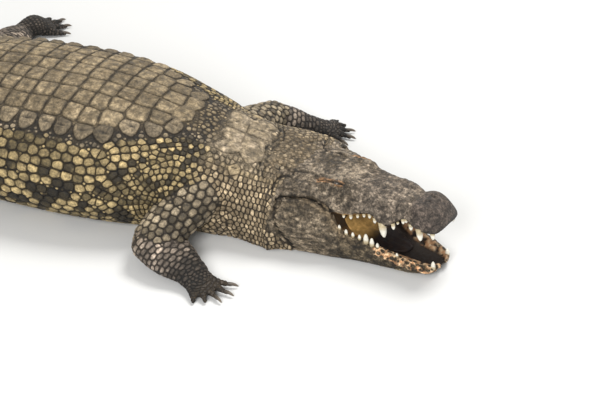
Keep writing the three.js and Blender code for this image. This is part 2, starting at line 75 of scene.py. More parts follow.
# ------------------------------------------------------------------ curves and noise
def smooth(table):
    """A smooth curve through (place, value) pairs that doesn't overshoot them."""
    x, y = np.array(table, float).T
    width = np.diff(x)
    rise = np.diff(y) / width
    slopes = np.zeros(len(x))
    slopes[0], slopes[-1] = rise[0], rise[-1]
    product = rise[:-1] * rise[1:]
    total = np.where(product > 0, rise[:-1] + rise[1:], 1)
    slopes[1:-1] = np.where(product > 0, 2 * product / total, 0)

    def at(places):
        places = np.clip(np.asarray(places, float), x[0], x[-1])
        i = np.clip(np.searchsorted(x, places, side="right") - 1, 0, len(x) - 2)
        t = (places - x[i]) / width[i]
        keep = 1 - t
        return (y[i] * keep * keep * (1 + 2 * t) + y[i + 1] * t * t * (3 - 2 * t)
                + slopes[i] * width[i] * t * keep * keep - slopes[i + 1] * width[i] * t * t * keep)
    return at


def mix(a, b, share):
    return a + (b - a) * share


def step(low, high, values):
    """0 below low, 1 above high, and smooth between. low may be the larger."""
    t = np.clip((np.asarray(values, float) - low) / (high - low), 0, 1)
    return t * t * (3 - 2 * t)


def bump(values, centre, reach):
    """1 at the centre, fading to both sides as a bell."""
    return np.exp(-(((np.asarray(values, float) - centre) / reach) ** 2))


def hashed(cells, seed):
    """A repeatable number from 0 to 1 for each cell of whole numbers, by shifting its bits."""
    n = cells.astype(np.int64).astype(np.uint32)
    h = n[..., 0] * np.uint32(374761393) + n[..., 1] * np.uint32(668265263)
    h = h + n[..., 2] * np.uint32(2246822519) + np.uint32((seed * 3266489917) % 2**32)
    h = (h ^ (h >> np.uint32(13))) * np.uint32(1274126177)
    h = (h ^ (h >> np.uint32(16))) * np.uint32(2654435761)
    return ((h ^ (h >> np.uint32(15))) & np.uint32(0xFFFFFF)) / float(0xFFFFFF)


def noise(points, size, seed=0):
    """Smooth noise from -1 to 1 with features of about that size."""
    p = np.asarray(points, float) / size
    base = np.floor(p).astype(np.int64)
    t = p - base
    t = t * t * (3 - 2 * t)
    total = np.zeros(p.shape[:-1])
    for corner in product((0, 1), repeat=3):
        x, y, z = (t[..., k] if far else 1 - t[..., k] for k, far in enumerate(corner))
        total += x * y * z * hashed(base + corner, seed)
    return total * 2 - 1


def between(start, full, falling, end, values):
    """1 from full to falling, and 0 below start and above end."""
    return step(start, full, values) * (1 - step(falling, end, values))


def turns(count, offset=0.0):
    """Angles spaced evenly round a circle."""
    return (np.arange(count) + offset) / count * 2 * math.pi


# ------------------------------------------------------------------ camera, floor and light
VIEW_TARGET = Vector((0.785, 0.088, 0.0))
VIEW_AZIMUTH, VIEW_ELEVATION = math.radians(20.75), math.radians(35)
VIEW_DISTANCE = 5.93
VIEW_ANGLE = math.radians(20)
LAMP_TARGET = Vector((0.4, 0, 0.1))
FLOOR_HALF = 30


def toward(azimuth, elevation):
    """The direction from the object to a viewer or lamp. Azimuth 0 looks along +Y."""
    flat = math.cos(elevation)
    return Vector((math.sin(azimuth) * flat, -math.cos(azimuth) * flat, math.sin(elevation)))


def aim(obj, place, target):
    obj.location = place
    obj.rotation_euler = (place - target).to_track_quat("Z", "Y").to_euler()


def add_object(name, data):
    obj = bpy.data.objects.new(name, data)
    bpy.context.scene.collection.objects.link(obj)
    return obj


def add_camera():
    data = bpy.data.cameras.new("camera")
    data.angle = VIEW_ANGLE
    data.clip_end = 60
    camera = add_object("camera", data)
    aim(camera, VIEW_TARGET + toward(VIEW_AZIMUTH, VIEW_ELEVATION) * VIEW_DISTANCE, VIEW_TARGET)
    bpy.context.scene.camera = camera


def add_lamp(name, azimuth, elevation, distance, size, power, colour):
    data = bpy.data.lights.new(name, "AREA")
    data.shape = "DISK"
    data.size = size
    data.energy = power
    data.color = colour
    aim(add_object(name, data),
        LAMP_TARGET + toward(math.radians(azimuth), math.radians(elevation)) * distance, LAMP_TARGET)


def add_world(light, shown):
    """A plain sky: one strength for the light it gives, and white where the camera or a gloss sees it."""
    world = bpy.data.worlds.new("sky")
    bpy.context.scene.world = world
    world.use_nodes = True
    nodes, links = world.node_tree.nodes, world.node_tree.links
    nodes.clear()
    out = nodes.new("ShaderNodeOutputWorld")
    lit, seen = nodes.new("ShaderNodeBackground"), nodes.new("ShaderNodeBackground")
    lit.inputs["Color"].default_value = (1, 0.965, 0.90, 1)
    lit.inputs["Strength"].default_value = light
    seen.inputs["Color"].default_value = (1, 1, 1, 1)
    seen.inputs["Strength"].default_value = shown
    path, choose = nodes.new("ShaderNodeLightPath"), nodes.new("ShaderNodeMixShader")
    total = path.outputs["Is Camera Ray"]
    for ray in ("Is Glossy Ray", "Is Transmission Ray"):
        add = nodes.new("ShaderNodeMath")
        add.use_clamp = True
        links.new(total, add.inputs[0])
        links.new(path.outputs[ray], add.inputs[1])
        total = add.outputs[0]
    links.new(total, choose.inputs[0])
    links.new(lit.outputs[0], choose.inputs[1])
    links.new(seen.outputs[0], choose.inputs[2])
    links.new(choose.outputs[0], out.inputs["Surface"])


def add_floor():
    mesh = bpy.data.meshes.new("floor")
    corners = [(x * FLOOR_HALF, y * FLOOR_HALF, 0) for x, y in ((-1, -1), (1, -1), (1, 1), (-1, 1))]
    mesh.from_pydata(corners, [], [(0, 1, 2, 3)])
    material = bpy.data.materials.new("floor")
    material.use_nodes = True
    shader = material.node_tree.nodes["Principled BSDF"]
    shader.inputs["Base Color"].default_value = (0.74, 0.765, 0.80, 1)
    shader.inputs["Roughness"].default_value = 0.9
    mesh.materials.append(material)
    floor = add_object("floor", mesh)


bpy.context.scene.view_settings.view_transform = "Standard"
add_camera()
add_floor()
add_world(0.5, 0.95)
add_lamp("key", 150, 62, 6.0, 2.6, 260, (1, 0.96, 0.89))
add_lamp("fill", 8, 34, 7.0, 3.0, 330, (1, 0.965, 0.91))

# ------------------------------------------------------------------ the body's shape
heading = smooth([
    (TAIL_TIP, -16), (-1950, 8), (-1250, 25), (-800, 12), (-450, 0), (480, 0), (570, 8), (700, 8),
    (HEAD_START, -14.5)])
half_width = smooth([
    (TAIL_TIP, 5), (-2280, 15), (-1900, 38), (-1550, 68), (-1180, 112), (-850, 182), (-600, 262), (-450, 326),
    (-200, 366), (0, 370), (200, 350), (400, 296), (550, 249), (605, 229), (680, 238), (760, 250),
    (HEAD_START, 250)])
back_height = smooth([
    (TAIL_TIP, 24), (-2280, 48), (-1900, 94), (-1550, 142), (-1180, 200), (-850, 270), (-600, 338),
    (-450, 376), (-200, 396), (0, 400), (200, 388), (400, 352), (550, 310), (680, 270), (HEAD_START, 236)])
widest_at = smooth([(TAIL_TIP, 0.43), (440, 0.43), (640, 0.32), (720, 0.24), (HEAD_START, 0.22)])
squareness = smooth([(TAIL_TIP, 2.2), (-600, 2.3), (440, 2.3), (640, 2.6), (HEAD_START, 3.0)])
crest_height = smooth([
    (CREST_END, 16), (-2200, 38), (-1750, 58), (CREST_JOIN, 52), (-1200, 40), (-800, 22), (CREST_START, 16)])
crest_spread = smooth([(CREST_JOIN, 10), (-1400, 30), (-1000, 62), (CREST_START, 84)])

SPINE_STEP = 2.0
spine_grid = np.arange(TAIL_TIP - 60, HEAD_START + 120, SPINE_STEP)
spine_turn = np.radians(heading(spine_grid + SPINE_STEP / 2))
spine_x = np.concatenate([[0], np.cumsum(np.cos(spine_turn))[:-1]]) * SPINE_STEP
spine_y = np.concatenate([[0], np.cumsum(np.sin(spine_turn))[:-1]]) * SPINE_STEP
spine_x -= np.interp(0, spine_grid, spine_x)
spine_y -= np.interp(0, spine_grid, spine_y)


def spine_at(distance):
    """The spine's place on the floor, and the directions forward and to the left."""
    distance = np.asarray(distance, float)
    zero = np.zeros_like(distance)
    x, y = (np.interp(distance, spine_grid, line) for line in (spine_x, spine_y))
    turn = np.radians(heading(distance))
    return tuple(np.stack(parts, -1) for parts in (
        (x, y, zero), (np.cos(turn), np.sin(turn), zero), (-np.sin(turn), np.cos(turn), zero)))


def body_section(distance, angles, sink):
    """How far out and how high the body's surface is at angles up from its widest level."""
    distance = np.asarray(distance, float)[..., None]
    wide = np.maximum(half_width(distance) - sink, 2)
    top = np.maximum(back_height(distance) - sink, 6)
    widest = top * widest_at(distance)
    power = 2 / squareness(distance)
    out = np.sign(np.cos(angles)) * np.abs(np.cos(angles)) ** power * wide
    lift = np.abs(np.sin(angles)) ** power
    rise = np.where(np.sin(angles) > 0, top - widest, -top * BELLY_DEPTH)
    return out, np.maximum(widest + rise * lift, sink * 0.5)


def body_rings(distances, sides, sink):
    out, height = body_section(distances, turns(sides, 0.5), sink)
    place, _, left = spine_at(distances)
    rings = place[:, None, :] + left[:, None, :] * out[..., None]
    rings[..., 2] = height
    return rings


# Arc lengths round half a section, from the back's middle line down to the belly's.
ARC_STEP = 10.0
ARC_STATIONS = np.arange(TAIL_TIP, HEAD_START + 40, ARC_STEP)
ARC_ANGLES = np.linspace(math.pi / 2, -math.pi / 2, 90)
arc_out, arc_height = body_section(ARC_STATIONS, ARC_ANGLES, COAT)
arc_steps = np.hypot(np.diff(arc_out, axis=1), np.diff(arc_height, axis=1))
arc_length = np.concatenate([np.zeros((len(ARC_STATIONS), 1)), np.cumsum(arc_steps, axis=1)], axis=1)


def girth(distance):
    """The arc from the back's middle line to the belly's."""
    return np.interp(distance, ARC_STATIONS, arc_length[:, -1])


def body_point(distance, arc):
    """The skin's point at a distance along the spine and an arc from the back's middle to the left."""
    row = int(np.clip(round((distance - ARC_STATIONS[0]) / ARC_STEP), 0, len(ARC_STATIONS) - 1))
    out, height = (np.interp(abs(arc), arc_length[row], table[row]) for table in (arc_out, arc_height))
    place, _, left = spine_at(distance)
    point = place + left * math.copysign(out, arc)
    point[2] = height
    return point


# ------------------------------------------------------------------ the head's shape
UPPER_START = -56
LOWER_START = -60
roof_height = smooth([
    (UPPER_START, 232), (0, 232), (60, 230), (125, 221), (177, 214), (225, 202), (270, 190), (325, 178),
    (380, 167), (425, 150), (448, 145), (480, 146), (507, 141), (524, 131), (537, 116), (545, 103),
    (HEAD_LENGTH, 86)])
roof_half_width = smooth([
    (UPPER_START, 108), (0, 106), (56, 103), (121, 96), (177, 95), (228, 84), (279, 72), (345, 67), (395, 66),
    (435, 56), (480, 62), (512, 57), (531, 47), (545, 31), (HEAD_LENGTH, 14)])
upper_half_width = smooth([
    (UPPER_START, 186), (0, 184), (56, 175), (121, 158), (180, 140), (245, 118), (305, 102), (345, 99),
    (380, 98), (412, 82), (432, 71), (458, 75), (490, 81), (516, 81), (534, 71), (545, 53), (HEAD_LENGTH, 28)])
tooth_line = smooth([
    (UPPER_START, 160), (0, 160), (60, 164), (105, 162), (145, 143), (176, 126), (208, 111), (250, 105),
    (300, 110), (316, 109), (340, 78), (360, 70), (378, 73), (405, 87), (430, 94), (446, 76), (478, 61),
    (512, 55), (532, 52), (545, 57), (HEAD_LENGTH, 66)])
palate_rise = smooth([(UPPER_START, 2), (120, 4), (220, 14), (391, 16), (500, 12), (HEAD_LENGTH, 2)])
lower_half_width = smooth([
    (LOWER_START, 200), (0, 248), (56, 216), (121, 191), (186, 165), (260, 136), (335, 112), (400, 96),
    (450, 84), (487, 72), (510, 58), (523, 40), (LOWER_TIP, 14)])
lower_top = smooth([
    (0, 170), (60, 196), (120, 206), (150, 192), (176, 158), (200, 128), (225, 104), (254, 96), (297, 87),
    (336, 73), (385, 63), (423, 53), (480, 43), (512, 40), (LOWER_TIP, 44)])
lip_share = smooth([(0, 0.68), (120, 0.74), (204, 0.82), (400, 0.84), (LOWER_TIP, 0.9)])
lower_base = smooth([(0, 0), (390, 0), (475, 6), (510, 14), (LOWER_TIP, 28)])
jaw_flat = smooth([(0, 0.92), (180, 0.92), (260, 0.88), (400, 0.86), (LOWER_TIP, 0.72)])
mouth_depth = smooth([(0, 2), (150, 4), (200, 40), (279, 40), (390, 26), (470, 12), (LOWER_TIP, 4)])

JAW_PLACE, JAW_FORWARD, JAW_LEFT = (vector.copy() for vector in spine_at(float(HEAD_START)))


def raise_jaw(along, up):
    lift = up - JAW_JOINT_HEIGHT
    forward = along * math.cos(GAPE) - lift * math.sin(GAPE)
    return forward, JAW_JOINT_HEIGHT + lift * math.cos(GAPE) + along * math.sin(GAPE)


def lower_back(forward, height):
    """Undoes raise_jaw: a place in the open mouth's upper jaw, in the shut head's sizes."""
    lift = height - JAW_JOINT_HEIGHT
    along = forward * math.cos(GAPE) + lift * math.sin(GAPE)
    return along, JAW_JOINT_HEIGHT + lift * math.cos(GAPE) - forward * math.sin(GAPE)


def head_point(along, aside, up, raised):
    along, aside, up = np.broadcast_arrays(*(np.asarray(v, float) for v in (along, aside, up)))
    forward, height = raise_jaw(along, up) if raised else (along, up)
    point = JAW_PLACE + JAW_FORWARD * forward[..., None] + JAW_LEFT * aside[..., None]
    point[..., 2] = height
    return point


def head_sizes(points):
    """Points in the row's frame, as (forward from the jaw joint, aside, height)."""
    offset = points - JAW_PLACE
    return offset @ JAW_FORWARD, offset @ JAW_LEFT, points[..., 2]


def upper_section(along):
    """Half of the upper jaw's section, as (aside, up) pairs from its top down to its palate."""
    top, flat = roof_height(along), roof_half_width(along)
    lip, line = upper_half_width(along), tooth_line(along)
    height, zero = top - line, np.zeros_like(along)
    rise = palate_rise(along)
    return [(zero, top), (flat * 0.75, top), (flat, top - 0.08 * height),
            (mix(flat, lip, 0.5), top - 0.42 * height), (mix(flat, lip, 0.92), line + 0.32 * height),
            (lip, line + 0.1 * height), (lip * 0.93, line), (lip * 0.74, line + rise * 0.6),
            (zero, line + rise)]


def lower_section(along):
    """Half of the lower jaw's section, as (aside, up) pairs from its mouth's floor round to its base."""
    wide, top, base = lower_half_width(along), lower_top(along), lower_base(along)
    edge, height, zero = wide * lip_share(along), top - base, np.zeros_like(along)
    bed = top - mouth_depth(along)
    return [(zero, bed), (edge * 0.62, bed), (edge * 0.88, mix(bed, top, 0.7)), (edge, top),
            (mix(edge, wide, 0.8), top - 0.2 * height), (wide * 1.03, base + 0.5 * height),
            (wide * mix(jaw_flat(along), 1, 0.6), base + 0.14 * height), (wide * jaw_flat(along), base),
            (zero, base)]


def rounded(ring):
    """Cuts the corners of closed rings of points once."""
    following = np.roll(ring, -1, axis=1)
    cut = np.stack([mix(ring, following, 0.25), mix(ring, following, 0.75)], axis=2)
    return cut.reshape(ring.shape[0], -1, ring.shape[2])


def jaw_rings(section, along, raised):
    half = np.stack([np.stack(pair, -1) for pair in section(along)], axis=1)
    other = half[:, -2:0:-1] * (-1, 1)
    ring = rounded(rounded(np.concatenate([half, other], axis=1)))
    return head_point(along[:, None], ring[..., 0], ring[..., 1], raised)


def upper_rings(pitch):
    return jaw_rings(upper_section, np.arange(UPPER_START, HEAD_LENGTH + 1, pitch), True)


def lower_rings(pitch):
    return jaw_rings(lower_section, np.arange(LOWER_START, LOWER_TIP + 1, pitch), False)


# ------------------------------------------------------------------ the legs' shape
FRONT = {"toes": (76, 82, 76, 70, 60), "spread": (44, 22, 1, -20, -42), "toe_half": 13, "clawed": 3,
         "webbed": 0.22, "halves": (84, 68, 58, 38), "palm": (78, 50)}
HIND = {"toes": (108, 126, 134, 116), "spread": (36, 12, -8, -27), "toe_half": 17, "clawed": 3, "webbed": 0.62,
        "halves": (124, 98, 68, 36), "palm": (132, 56)}
LEGS = [
    {"foot": "hand_right", "side": -1, "kind": FRONT, "heading": -30, "broad": 1.6, "arch": 0, "reach": 1,
     "root": (512, -190, 170), "joint": (430, -382, 72), "end": (592, -446, 36),
     "nodes": ("upper_arm_right", "forearm_right", "hand_right")},
    {"foot": "hand_left", "side": 1, "kind": FRONT, "heading": 24, "broad": 1.15, "arch": 0, "reach": 1,
     "root": (484, 190, 160), "joint": (522, 444, 86), "end": (646, 508, 36),
     "nodes": ("upper_arm_left", "forearm_left", "hand_left")},
    {"foot": "foot_right", "side": -1, "kind": HIND, "heading": -58, "broad": 1.1, "arch": 0, "reach": 1,
     "root": (HIP, -170, 196), "joint": (-380, -456, 136), "end": (-524, -626, 42),
     "nodes": ("thigh_right", "shank_right", "foot_right")},
    {"foot": "foot_left", "side": 1, "kind": HIND, "heading": 58, "broad": 1.2, "arch": 20, "reach": 0.78,
     "root": (HIP, 170, 196), "joint": (-612, 488, 96), "end": (-662, 757, 34),
     "nodes": ("thigh_left", "shank_left", "foot_left")},
]
UP = np.array((0.0, 0.0, 1.0))


def unit(vectors):
    return vectors / np.maximum(np.linalg.norm(vectors, axis=-1, keepdims=True), 1e-9)


def through(values, count):
    """Samples smooth curves through evenly spaced rows of values."""
    values = np.array(values, float)
    samples = np.linspace(0, len(values) - 1, count)
    return np.stack([smooth(list(enumerate(column)))(samples) for column in values.T], -1)


def axes_along(line):
    """A line's directions ahead, across and up, at each of its points."""
    along = unit(np.gradient(line, axis=0))
    across = unit(np.cross(UP, along))
    return along, across, np.cross(along, across)


def tube(line, across, lift, wide, tall, angles):
    return (line[:, None] + across[:, None] * (np.cos(angles) * wide[:, None])[..., None]
            + lift[:, None] * (np.sin(angles) * tall[:, None])[..., None])


CAP_REACH = np.array([0.98, 0.87, 0.64, 0.34])    # how far out a limb's rounded end has its rings


def limb(centres, halves, count, sides, sink):
    """A rounded length of leg or toe: its rings, and the line and axes that scales are laid out by."""
    line = through(centres, count)
    wide, tall = (through(halves, count) - sink).T
    along, across, lift = axes_along(line)
    share = np.sqrt(1 - CAP_REACH**2)
    line = np.vstack([line[0] - along[0] * CAP_REACH[:, None] * tall[0], line,
                      (line[-1] + along[-1] * CAP_REACH[:, None] * tall[-1])[::-1]])
    wide, tall = (np.concatenate([half[0] * share, half, (half[-1] * share)[::-1]]) for half in (wide, tall))
    ends = len(CAP_REACH)
    along, across, lift = (
        np.vstack([axis[:1]] * ends + [axis] + [axis[-1:]] * ends) for axis in (along, across, lift))
    return {"rings": tube(line, across, lift, wide, tall, turns(sides)), "line": line, "along": along,
            "across": across, "lift": lift, "wide": wide, "tall": tall}


def on_floor(leg, angle, distance, height):
    """A point at a distance from the leg's end, in the foot's heading turned by an angle."""
    turn = math.radians(leg["heading"] + angle)
    x, y, _ = leg["end"]
    return np.array((x + math.cos(turn) * distance, y + math.sin(turn) * distance, height))


def toe_line(leg, toe):
    """A toe's three centres and its direction. The first toe faces the animal's middle."""
    kind = leg["kind"]
    angle = kind["spread"][toe] * -leg["side"]
    start = on_floor(leg, angle * 0.55, kind["palm"][0] * leg["reach"] * 0.75, SOLE + 4)
    turn = math.radians(leg["heading"] + angle)
    direction = np.array((math.cos(turn), math.sin(turn), 0.0))
    length = kind["toes"][toe] * leg["reach"]
    middle, tip = start + direction * length * 0.55, start + direction * length
    middle[2], tip[2] = SOLE + 4, SOLE - 4
    return [start, middle, tip], direction


def leg_lengths(leg):
    """The upper leg, the lower leg, the palm and then each toe, as limbs."""
    root, joint, end = (np.array(leg[place], float) for place in ("root", "joint", "end"))
    root_half, middle_half, joint_half, end_half = leg["kind"]["halves"]
    palm_length, palm_half = leg["kind"]["palm"]
    palm_length *= leg["reach"]
    broad, arch, toe_half = leg["broad"], leg["arch"], leg["kind"]["toe_half"]
    less = mix(1, broad, 0.5)
    lengths = [
        limb([root, mix(root, joint, 0.55), joint],
             [[half * less, half] for half in (root_half, middle_half, joint_half)], 36, 44, COAT),
        limb([joint, mix(joint, end, 0.45), end],
             [[joint_half * 0.9 * broad, joint_half * 0.9], [joint_half * 0.95 * broad, joint_half * 0.85],
              [end_half * broad, end_half * 0.92]], 30, 36, COAT),
        limb([end, on_floor(leg, 0, palm_length * 0.5, 26 + arch),
              on_floor(leg, 0, palm_length, SOLE + 5 + arch * 0.4)],
             [[end_half * broad, end_half * 0.95], [palm_half * 0.85 * less, 27 + arch * 0.5],
              [palm_half * less, 17 + arch * 0.4]], 24, 32, COAT * 0.6)]
    for toe in range(len(leg["kind"]["toes"])):
        centres, direction = toe_line(leg, toe)
        lengths.append(limb([centres[0], centres[1], centres[2] + direction * 4],
                            [[toe_half, 14], [toe_half, 13], [toe_half * 0.6, 8]], 16, 20, COAT * 0.3))
    return lengths


for each_leg in LEGS:
    each_leg["lengths"] = leg_lengths(each_leg)


# ------------------------------------------------------------------ meshes
class Solids:
    """Collects closed lofts, to be joined as one mesh."""

    def __init__(self):
        self.points, self.quads, self.tris, self.count = [], [], [], 0

    def loft(self, rings):
        rows, sides = rings.shape[:2]
        ends = np.stack([rings[0].mean(0), rings[-1].mean(0)])
        base = self.count
        grid = base + np.arange(rows * sides).reshape(rows, sides)
        following = np.roll(grid, -1, axis=1)
        self.quads.append(np.stack([grid[:-1], following[:-1], following[1:], grid[1:]], -1).reshape(-1, 4))
        first, last = base + rows * sides, base + rows * sides + 1
        self.tris.append(np.stack([np.full(sides, first), following[0], grid[0]], -1))
        self.tris.append(np.stack([np.full(sides, last), grid[-1], following[-1]], -1))
        self.points += [rings.reshape(-1, 3), ends]
        self.count += rows * sides + 2

    def mesh(self, name):
        return fill_mesh(name, np.vstack(self.points), [np.vstack(self.quads), np.vstack(self.tris)])


def fill_mesh(name, points, face_groups):
    """A mesh from points in millimetres and arrays of faces with the same number of corners."""
    groups = [np.asarray(group, np.int32) for group in face_groups if len(group)]
    sizes = np.concatenate([np.full(len(group), group.shape[1], np.int32) for group in groups])
    corners = np.concatenate([group.ravel() for group in groups])
    mesh = bpy.data.meshes.new(name)
    mesh.vertices.add(len(points))
    mesh.vertices.foreach_set("co", (np.asarray(points) * MM).astype(np.float32).ravel())
    mesh.loops.add(len(corners))
    mesh.loops.foreach_set("vertex_index", corners)
    mesh.polygons.add(len(sizes))
    mesh.polygons.foreach_set("loop_start", (np.cumsum(sizes) - sizes).astype(np.int32))
    mesh.update(calc_edges=True)
    mesh.validate()
    mesh.shade_smooth()
    return mesh


def link(mesh):
    return add_object(mesh.name, mesh)


def read(collection, attribute, kind=np.int32, width=1):
    """One attribute of all of a mesh's points, edges, corners or faces."""
    values = np.empty(len(collection) * width, kind)
    collection.foreach_get(attribute, values)
    return values.reshape(-1, width) if width > 1 else values


def points_of(mesh):
    """A mesh's points in millimetres."""
    return read(mesh.vertices, "co", np.float32, 3).astype(float) / MM


def normals_of(mesh):
    return read(mesh.vertex_normals, "vector", np.float32, 3).astype(float)


def edges_of(mesh):
    return read(mesh.edges, "vertices", width=2)


def faces_of(mesh):
    """Each face corner's point, and where each face's corners start."""
    return read(mesh.loops, "vertex_index"), read(mesh.polygons, "loop_start")


def set_points(mesh, points):
    mesh.vertices.foreach_set("co", (points * MM).astype(np.float32).ravel())
    mesh.update()


def set_tint(mesh, colours):
    """Stores one linear colour for each vertex, which the materials read as "tint"."""
    layer = mesh.color_attributes.new("tint", "FLOAT_COLOR", "POINT")
    rgba = np.ones((len(colours), 4), np.float32)
    rgba[:, :3] = colours
    layer.data.foreach_set("color", rgba.ravel())


def coloured(mesh, colours, material):
    """Links a mesh as an object, with its colours and its one material."""
    set_tint(mesh, colours)
    mesh.materials.append(material)
    return link(mesh)


def relax(points, edges, steps, weight):
    """Moves each point towards the mean of its neighbours."""
    a, b = edges.T
    count = np.maximum(np.bincount(a, minlength=len(points)) + np.bincount(b, minlength=len(points)), 1)
    weight = np.broadcast_to(weight, len(points))[:, None]
    for _ in range(steps):
        mean = np.stack([np.bincount(a, points[b, k], len(points)) + np.bincount(b, points[a, k], len(points))
                         for k in range(3)], -1) / count[:, None]
        points = points + (mean - points) * weight
    return points


def modified(obj, kind, **settings):
    """Applies one modifier and gives back the new mesh."""
    modifier = obj.modifiers.new(kind, kind)
    for name, value in settings.items():
        setattr(modifier, name, value)
    old = obj.data
    mesh = bpy.data.meshes.new_from_object(obj.evaluated_get(bpy.context.evaluated_depsgraph_get()))
    obj.modifiers.clear()
    obj.data = mesh
    bpy.data.meshes.remove(old)
    return mesh


def subdivided(mesh, chosen):
    """Halves the edges whose two ends are both chosen."""
    work = bmesh.new()
    work.from_mesh(mesh)
    work.verts.ensure_lookup_table()
    edges = [edge for edge in work.edges if chosen[edge.verts[0].index] and chosen[edge.verts[1].index]]
    bmesh.ops.subdivide_edges(work, edges=edges, cuts=1, use_grid_fill=True)
    bmesh.ops.triangulate(work, faces=[face for face in work.faces if len(face.verts) > 4])
    work.to_mesh(mesh)
    work.free()


# ------------------------------------------------------------------ the skin's first shape
VOXEL = 5.0
NECK_END = HEAD_START + 16
BODY_SIDES = 96


def lid_rings(side):
    """A flattened ball round the eye, raised with the upper jaw."""
    (along, aside, up), (long, wide, tall) = LID_PLACE, LID_SIZES
    angles = np.linspace(0.02, math.pi - 0.02, 16)[:, None]
    return head_point(along - np.cos(angles) * long, side * aside + np.sin(angles) * np.cos(turns(24)) * wide,
                      up + np.sin(angles) * np.sin(turns(24)) * tall, True)


def first_skin():
    """All of the body's lofts, joined by a grid of small cubes into one closed skin."""
    solids = Solids()
    solids.loft(body_rings(np.arange(TAIL_TIP, NECK_END, 10.0), BODY_SIDES, COAT))
    solids.loft(upper_rings(6.0))
    solids.loft(lower_rings(6.0))
    for side in (-1, 1):
        solids.loft(lid_rings(side))
    for leg in LEGS:
        for length in leg["lengths"]:
            solids.loft(length["rings"])
        solids.loft(web_rings(leg))
    skin = link(solids.mesh("skin"))
    modified(skin, "REMESH", mode="VOXEL", voxel_size=VOXEL * MM, adaptivity=0)
    return skin


def web_rings(leg):
    """The fan of skin between the toes, as rings from its inner toe to its outer one."""
    kind = leg["kind"]
    last = len(kind["toes"]) - 1
    back = on_floor(leg, 0, 8, SOLE)
    rows = []
    for place in np.linspace(0, last, 25):
        low = min(int(place), last - 1)
        lines = (toe_line(leg, toe)[0] for toe in (low, low + 1))
        tips = [mix(line[0], line[2], kind["webbed"]) for line in lines]
        hollow = abs(math.sin(place * math.pi))
        edge = mix(mix(*tips, place - low), back, 0.1 * hollow)
        half = 6.5 - 1.5 * hollow
        profile = [(0, -half), (0.5, -half), (0.97, -half), (1, 0), (0.97, half), (0.5, half), (0, half)]
        rows.append([mix(back, edge, share) * (1, 1, 0) + (0, 0, SOLE + lift) for share, lift in profile])
    return np.array(rows)


# ------------------------------------------------------------------ the head's forms
# Lines on the side of the head, as runs of (whether on the raised upper jaw, its places along, aside and up).
LINES = {
    "ear": [(True, [(22, 77, 230), (60, 76, 229), (90, 73, 226), (120, 69, 221), (142, 64, 217)])],
    "eye": [(True, [(124, 88, 210), (150, 86, 214), (172, 87, 214), (190, 88, 212), (205, 86, 207),
                    (224, 78, 198)])],
    "crease": [(True, [(8, 180, 176), (40, 174, 181), (73, 168, 181), (124, 150, 175), (157, 141, 156),
                       (193, 133, 122)])],
    "fold": [(True, [(34, 80, 231), (7, 113, 221), (-17, 148, 201), (-16, 177, 182), (-10, 184, 165)]),
             (False, [(-20, 186, 125), (13, 192, 92), (46, 186, 58), (85, 167, 16)])],
    "nostril": [(True, [(482, 25, 134), (488, 17, 136), (496, 13, 135), (502, 14, 131)])],
    "bulb": [(True, [(436, 6, 141), (438, 40, 133), (450, 63, 106), (461, 74, 84)])],
}
EYE_OPENING = (0.52, 0.82)        # the shares of the eye's line between which its lids part


def line_distance(points, line):
    """How far points are from a line through places, and how far along it from 0 to 1."""
    lengths = np.linalg.norm(np.diff(line, axis=0), axis=1)
    ends = np.cumsum(lengths)
    best, share = np.full(len(points), 1e9), np.zeros(len(points))
    for start, stop, length, end in zip(line[:-1], line[1:], lengths, ends):
        way = (stop - start) / max(length, 1e-9)
        reach = np.clip((points - start) @ way, 0, length)
        gap = np.linalg.norm(points - start - reach[:, None] * way, axis=1)
        nearer = gap < best
        best = np.where(nearer, gap, best)
        share = np.where(nearer, (end - length + reach) / ends[-1], share)
    return best, share


def line_gap(points, tree, side, name):
    """line_distance for one of the head's lines, drawn onto the skin with extra points between."""
    line = np.vstack([head_point(*np.array(places, float).T * np.array((1, side, 1))[:, None], raised)
                      for raised, places in LINES[name]])
    dense = [mix(a, b, share) for a, b in zip(line[:-1], line[1:]) for share in (0, 0.25, 0.5, 0.75)]
    dense.append(line[-1])
    return line_distance(points, np.array([tree.find_nearest(Vector(point))[0] for point in dense]))


def tree_of(mesh):
    """A search tree in millimetres."""
    corners, starts = faces_of(mesh)
    faces = [face.tolist() for face in np.split(corners, starts[1:])]
    return BVHTree.FromPolygons(points_of(mesh).tolist(), faces)


def loft_tree(*many_rings):
    solids = Solids()
    for rings in many_rings:
        solids.loft(rings)
    faces = np.vstack(solids.quads).tolist() + np.vstack(solids.tris).tolist()
    return BVHTree.FromPolygons(np.vstack(solids.points).tolist(), faces)


def distances(tree, points, reach=1e4):
    found = [tree.find_nearest(Vector(point), reach)[3] for point in points]
    return np.array([reach if gap is None else gap for gap in found])


HEAD_FROM = -70                   # the head's own forms start here, measured forward from the jaw joint
head_lines = {}                   # each line's gap and share at the skin's points, by its side and name
upper_tree = loft_tree(upper_rings(9.0), lid_rings(-1), lid_rings(1))
lower_tree = loft_tree(lower_rings(9.0))
body_tree = loft_tree(body_rings(np.arange(TAIL_TIP, NECK_END, 15.0), BODY_SIDES, COAT))


def head_places(points):
    """Each head point's place (along, aside, up) with the mouth shut, and whether it is on the upper jaw."""
    forward, aside, height = head_sizes(points)
    upper = distances(upper_tree, points) < distances(lower_tree, points)
    along, up = lower_back(forward, height)
    return np.where(upper, along, forward), aside, np.where(upper, up, height), upper


# The furrows pushed into the head, as (line, half width, depth, rim, the share where it starts to fade out).
FURROWS = (("ear", 4.2, 7, 3.0, 0.9), ("fold", 7.5, 10, 1.6, 0.9), ("bulb", 12, 3.5, 0, 0.9),
           ("crease", 6.0, 13, 1.0, None))


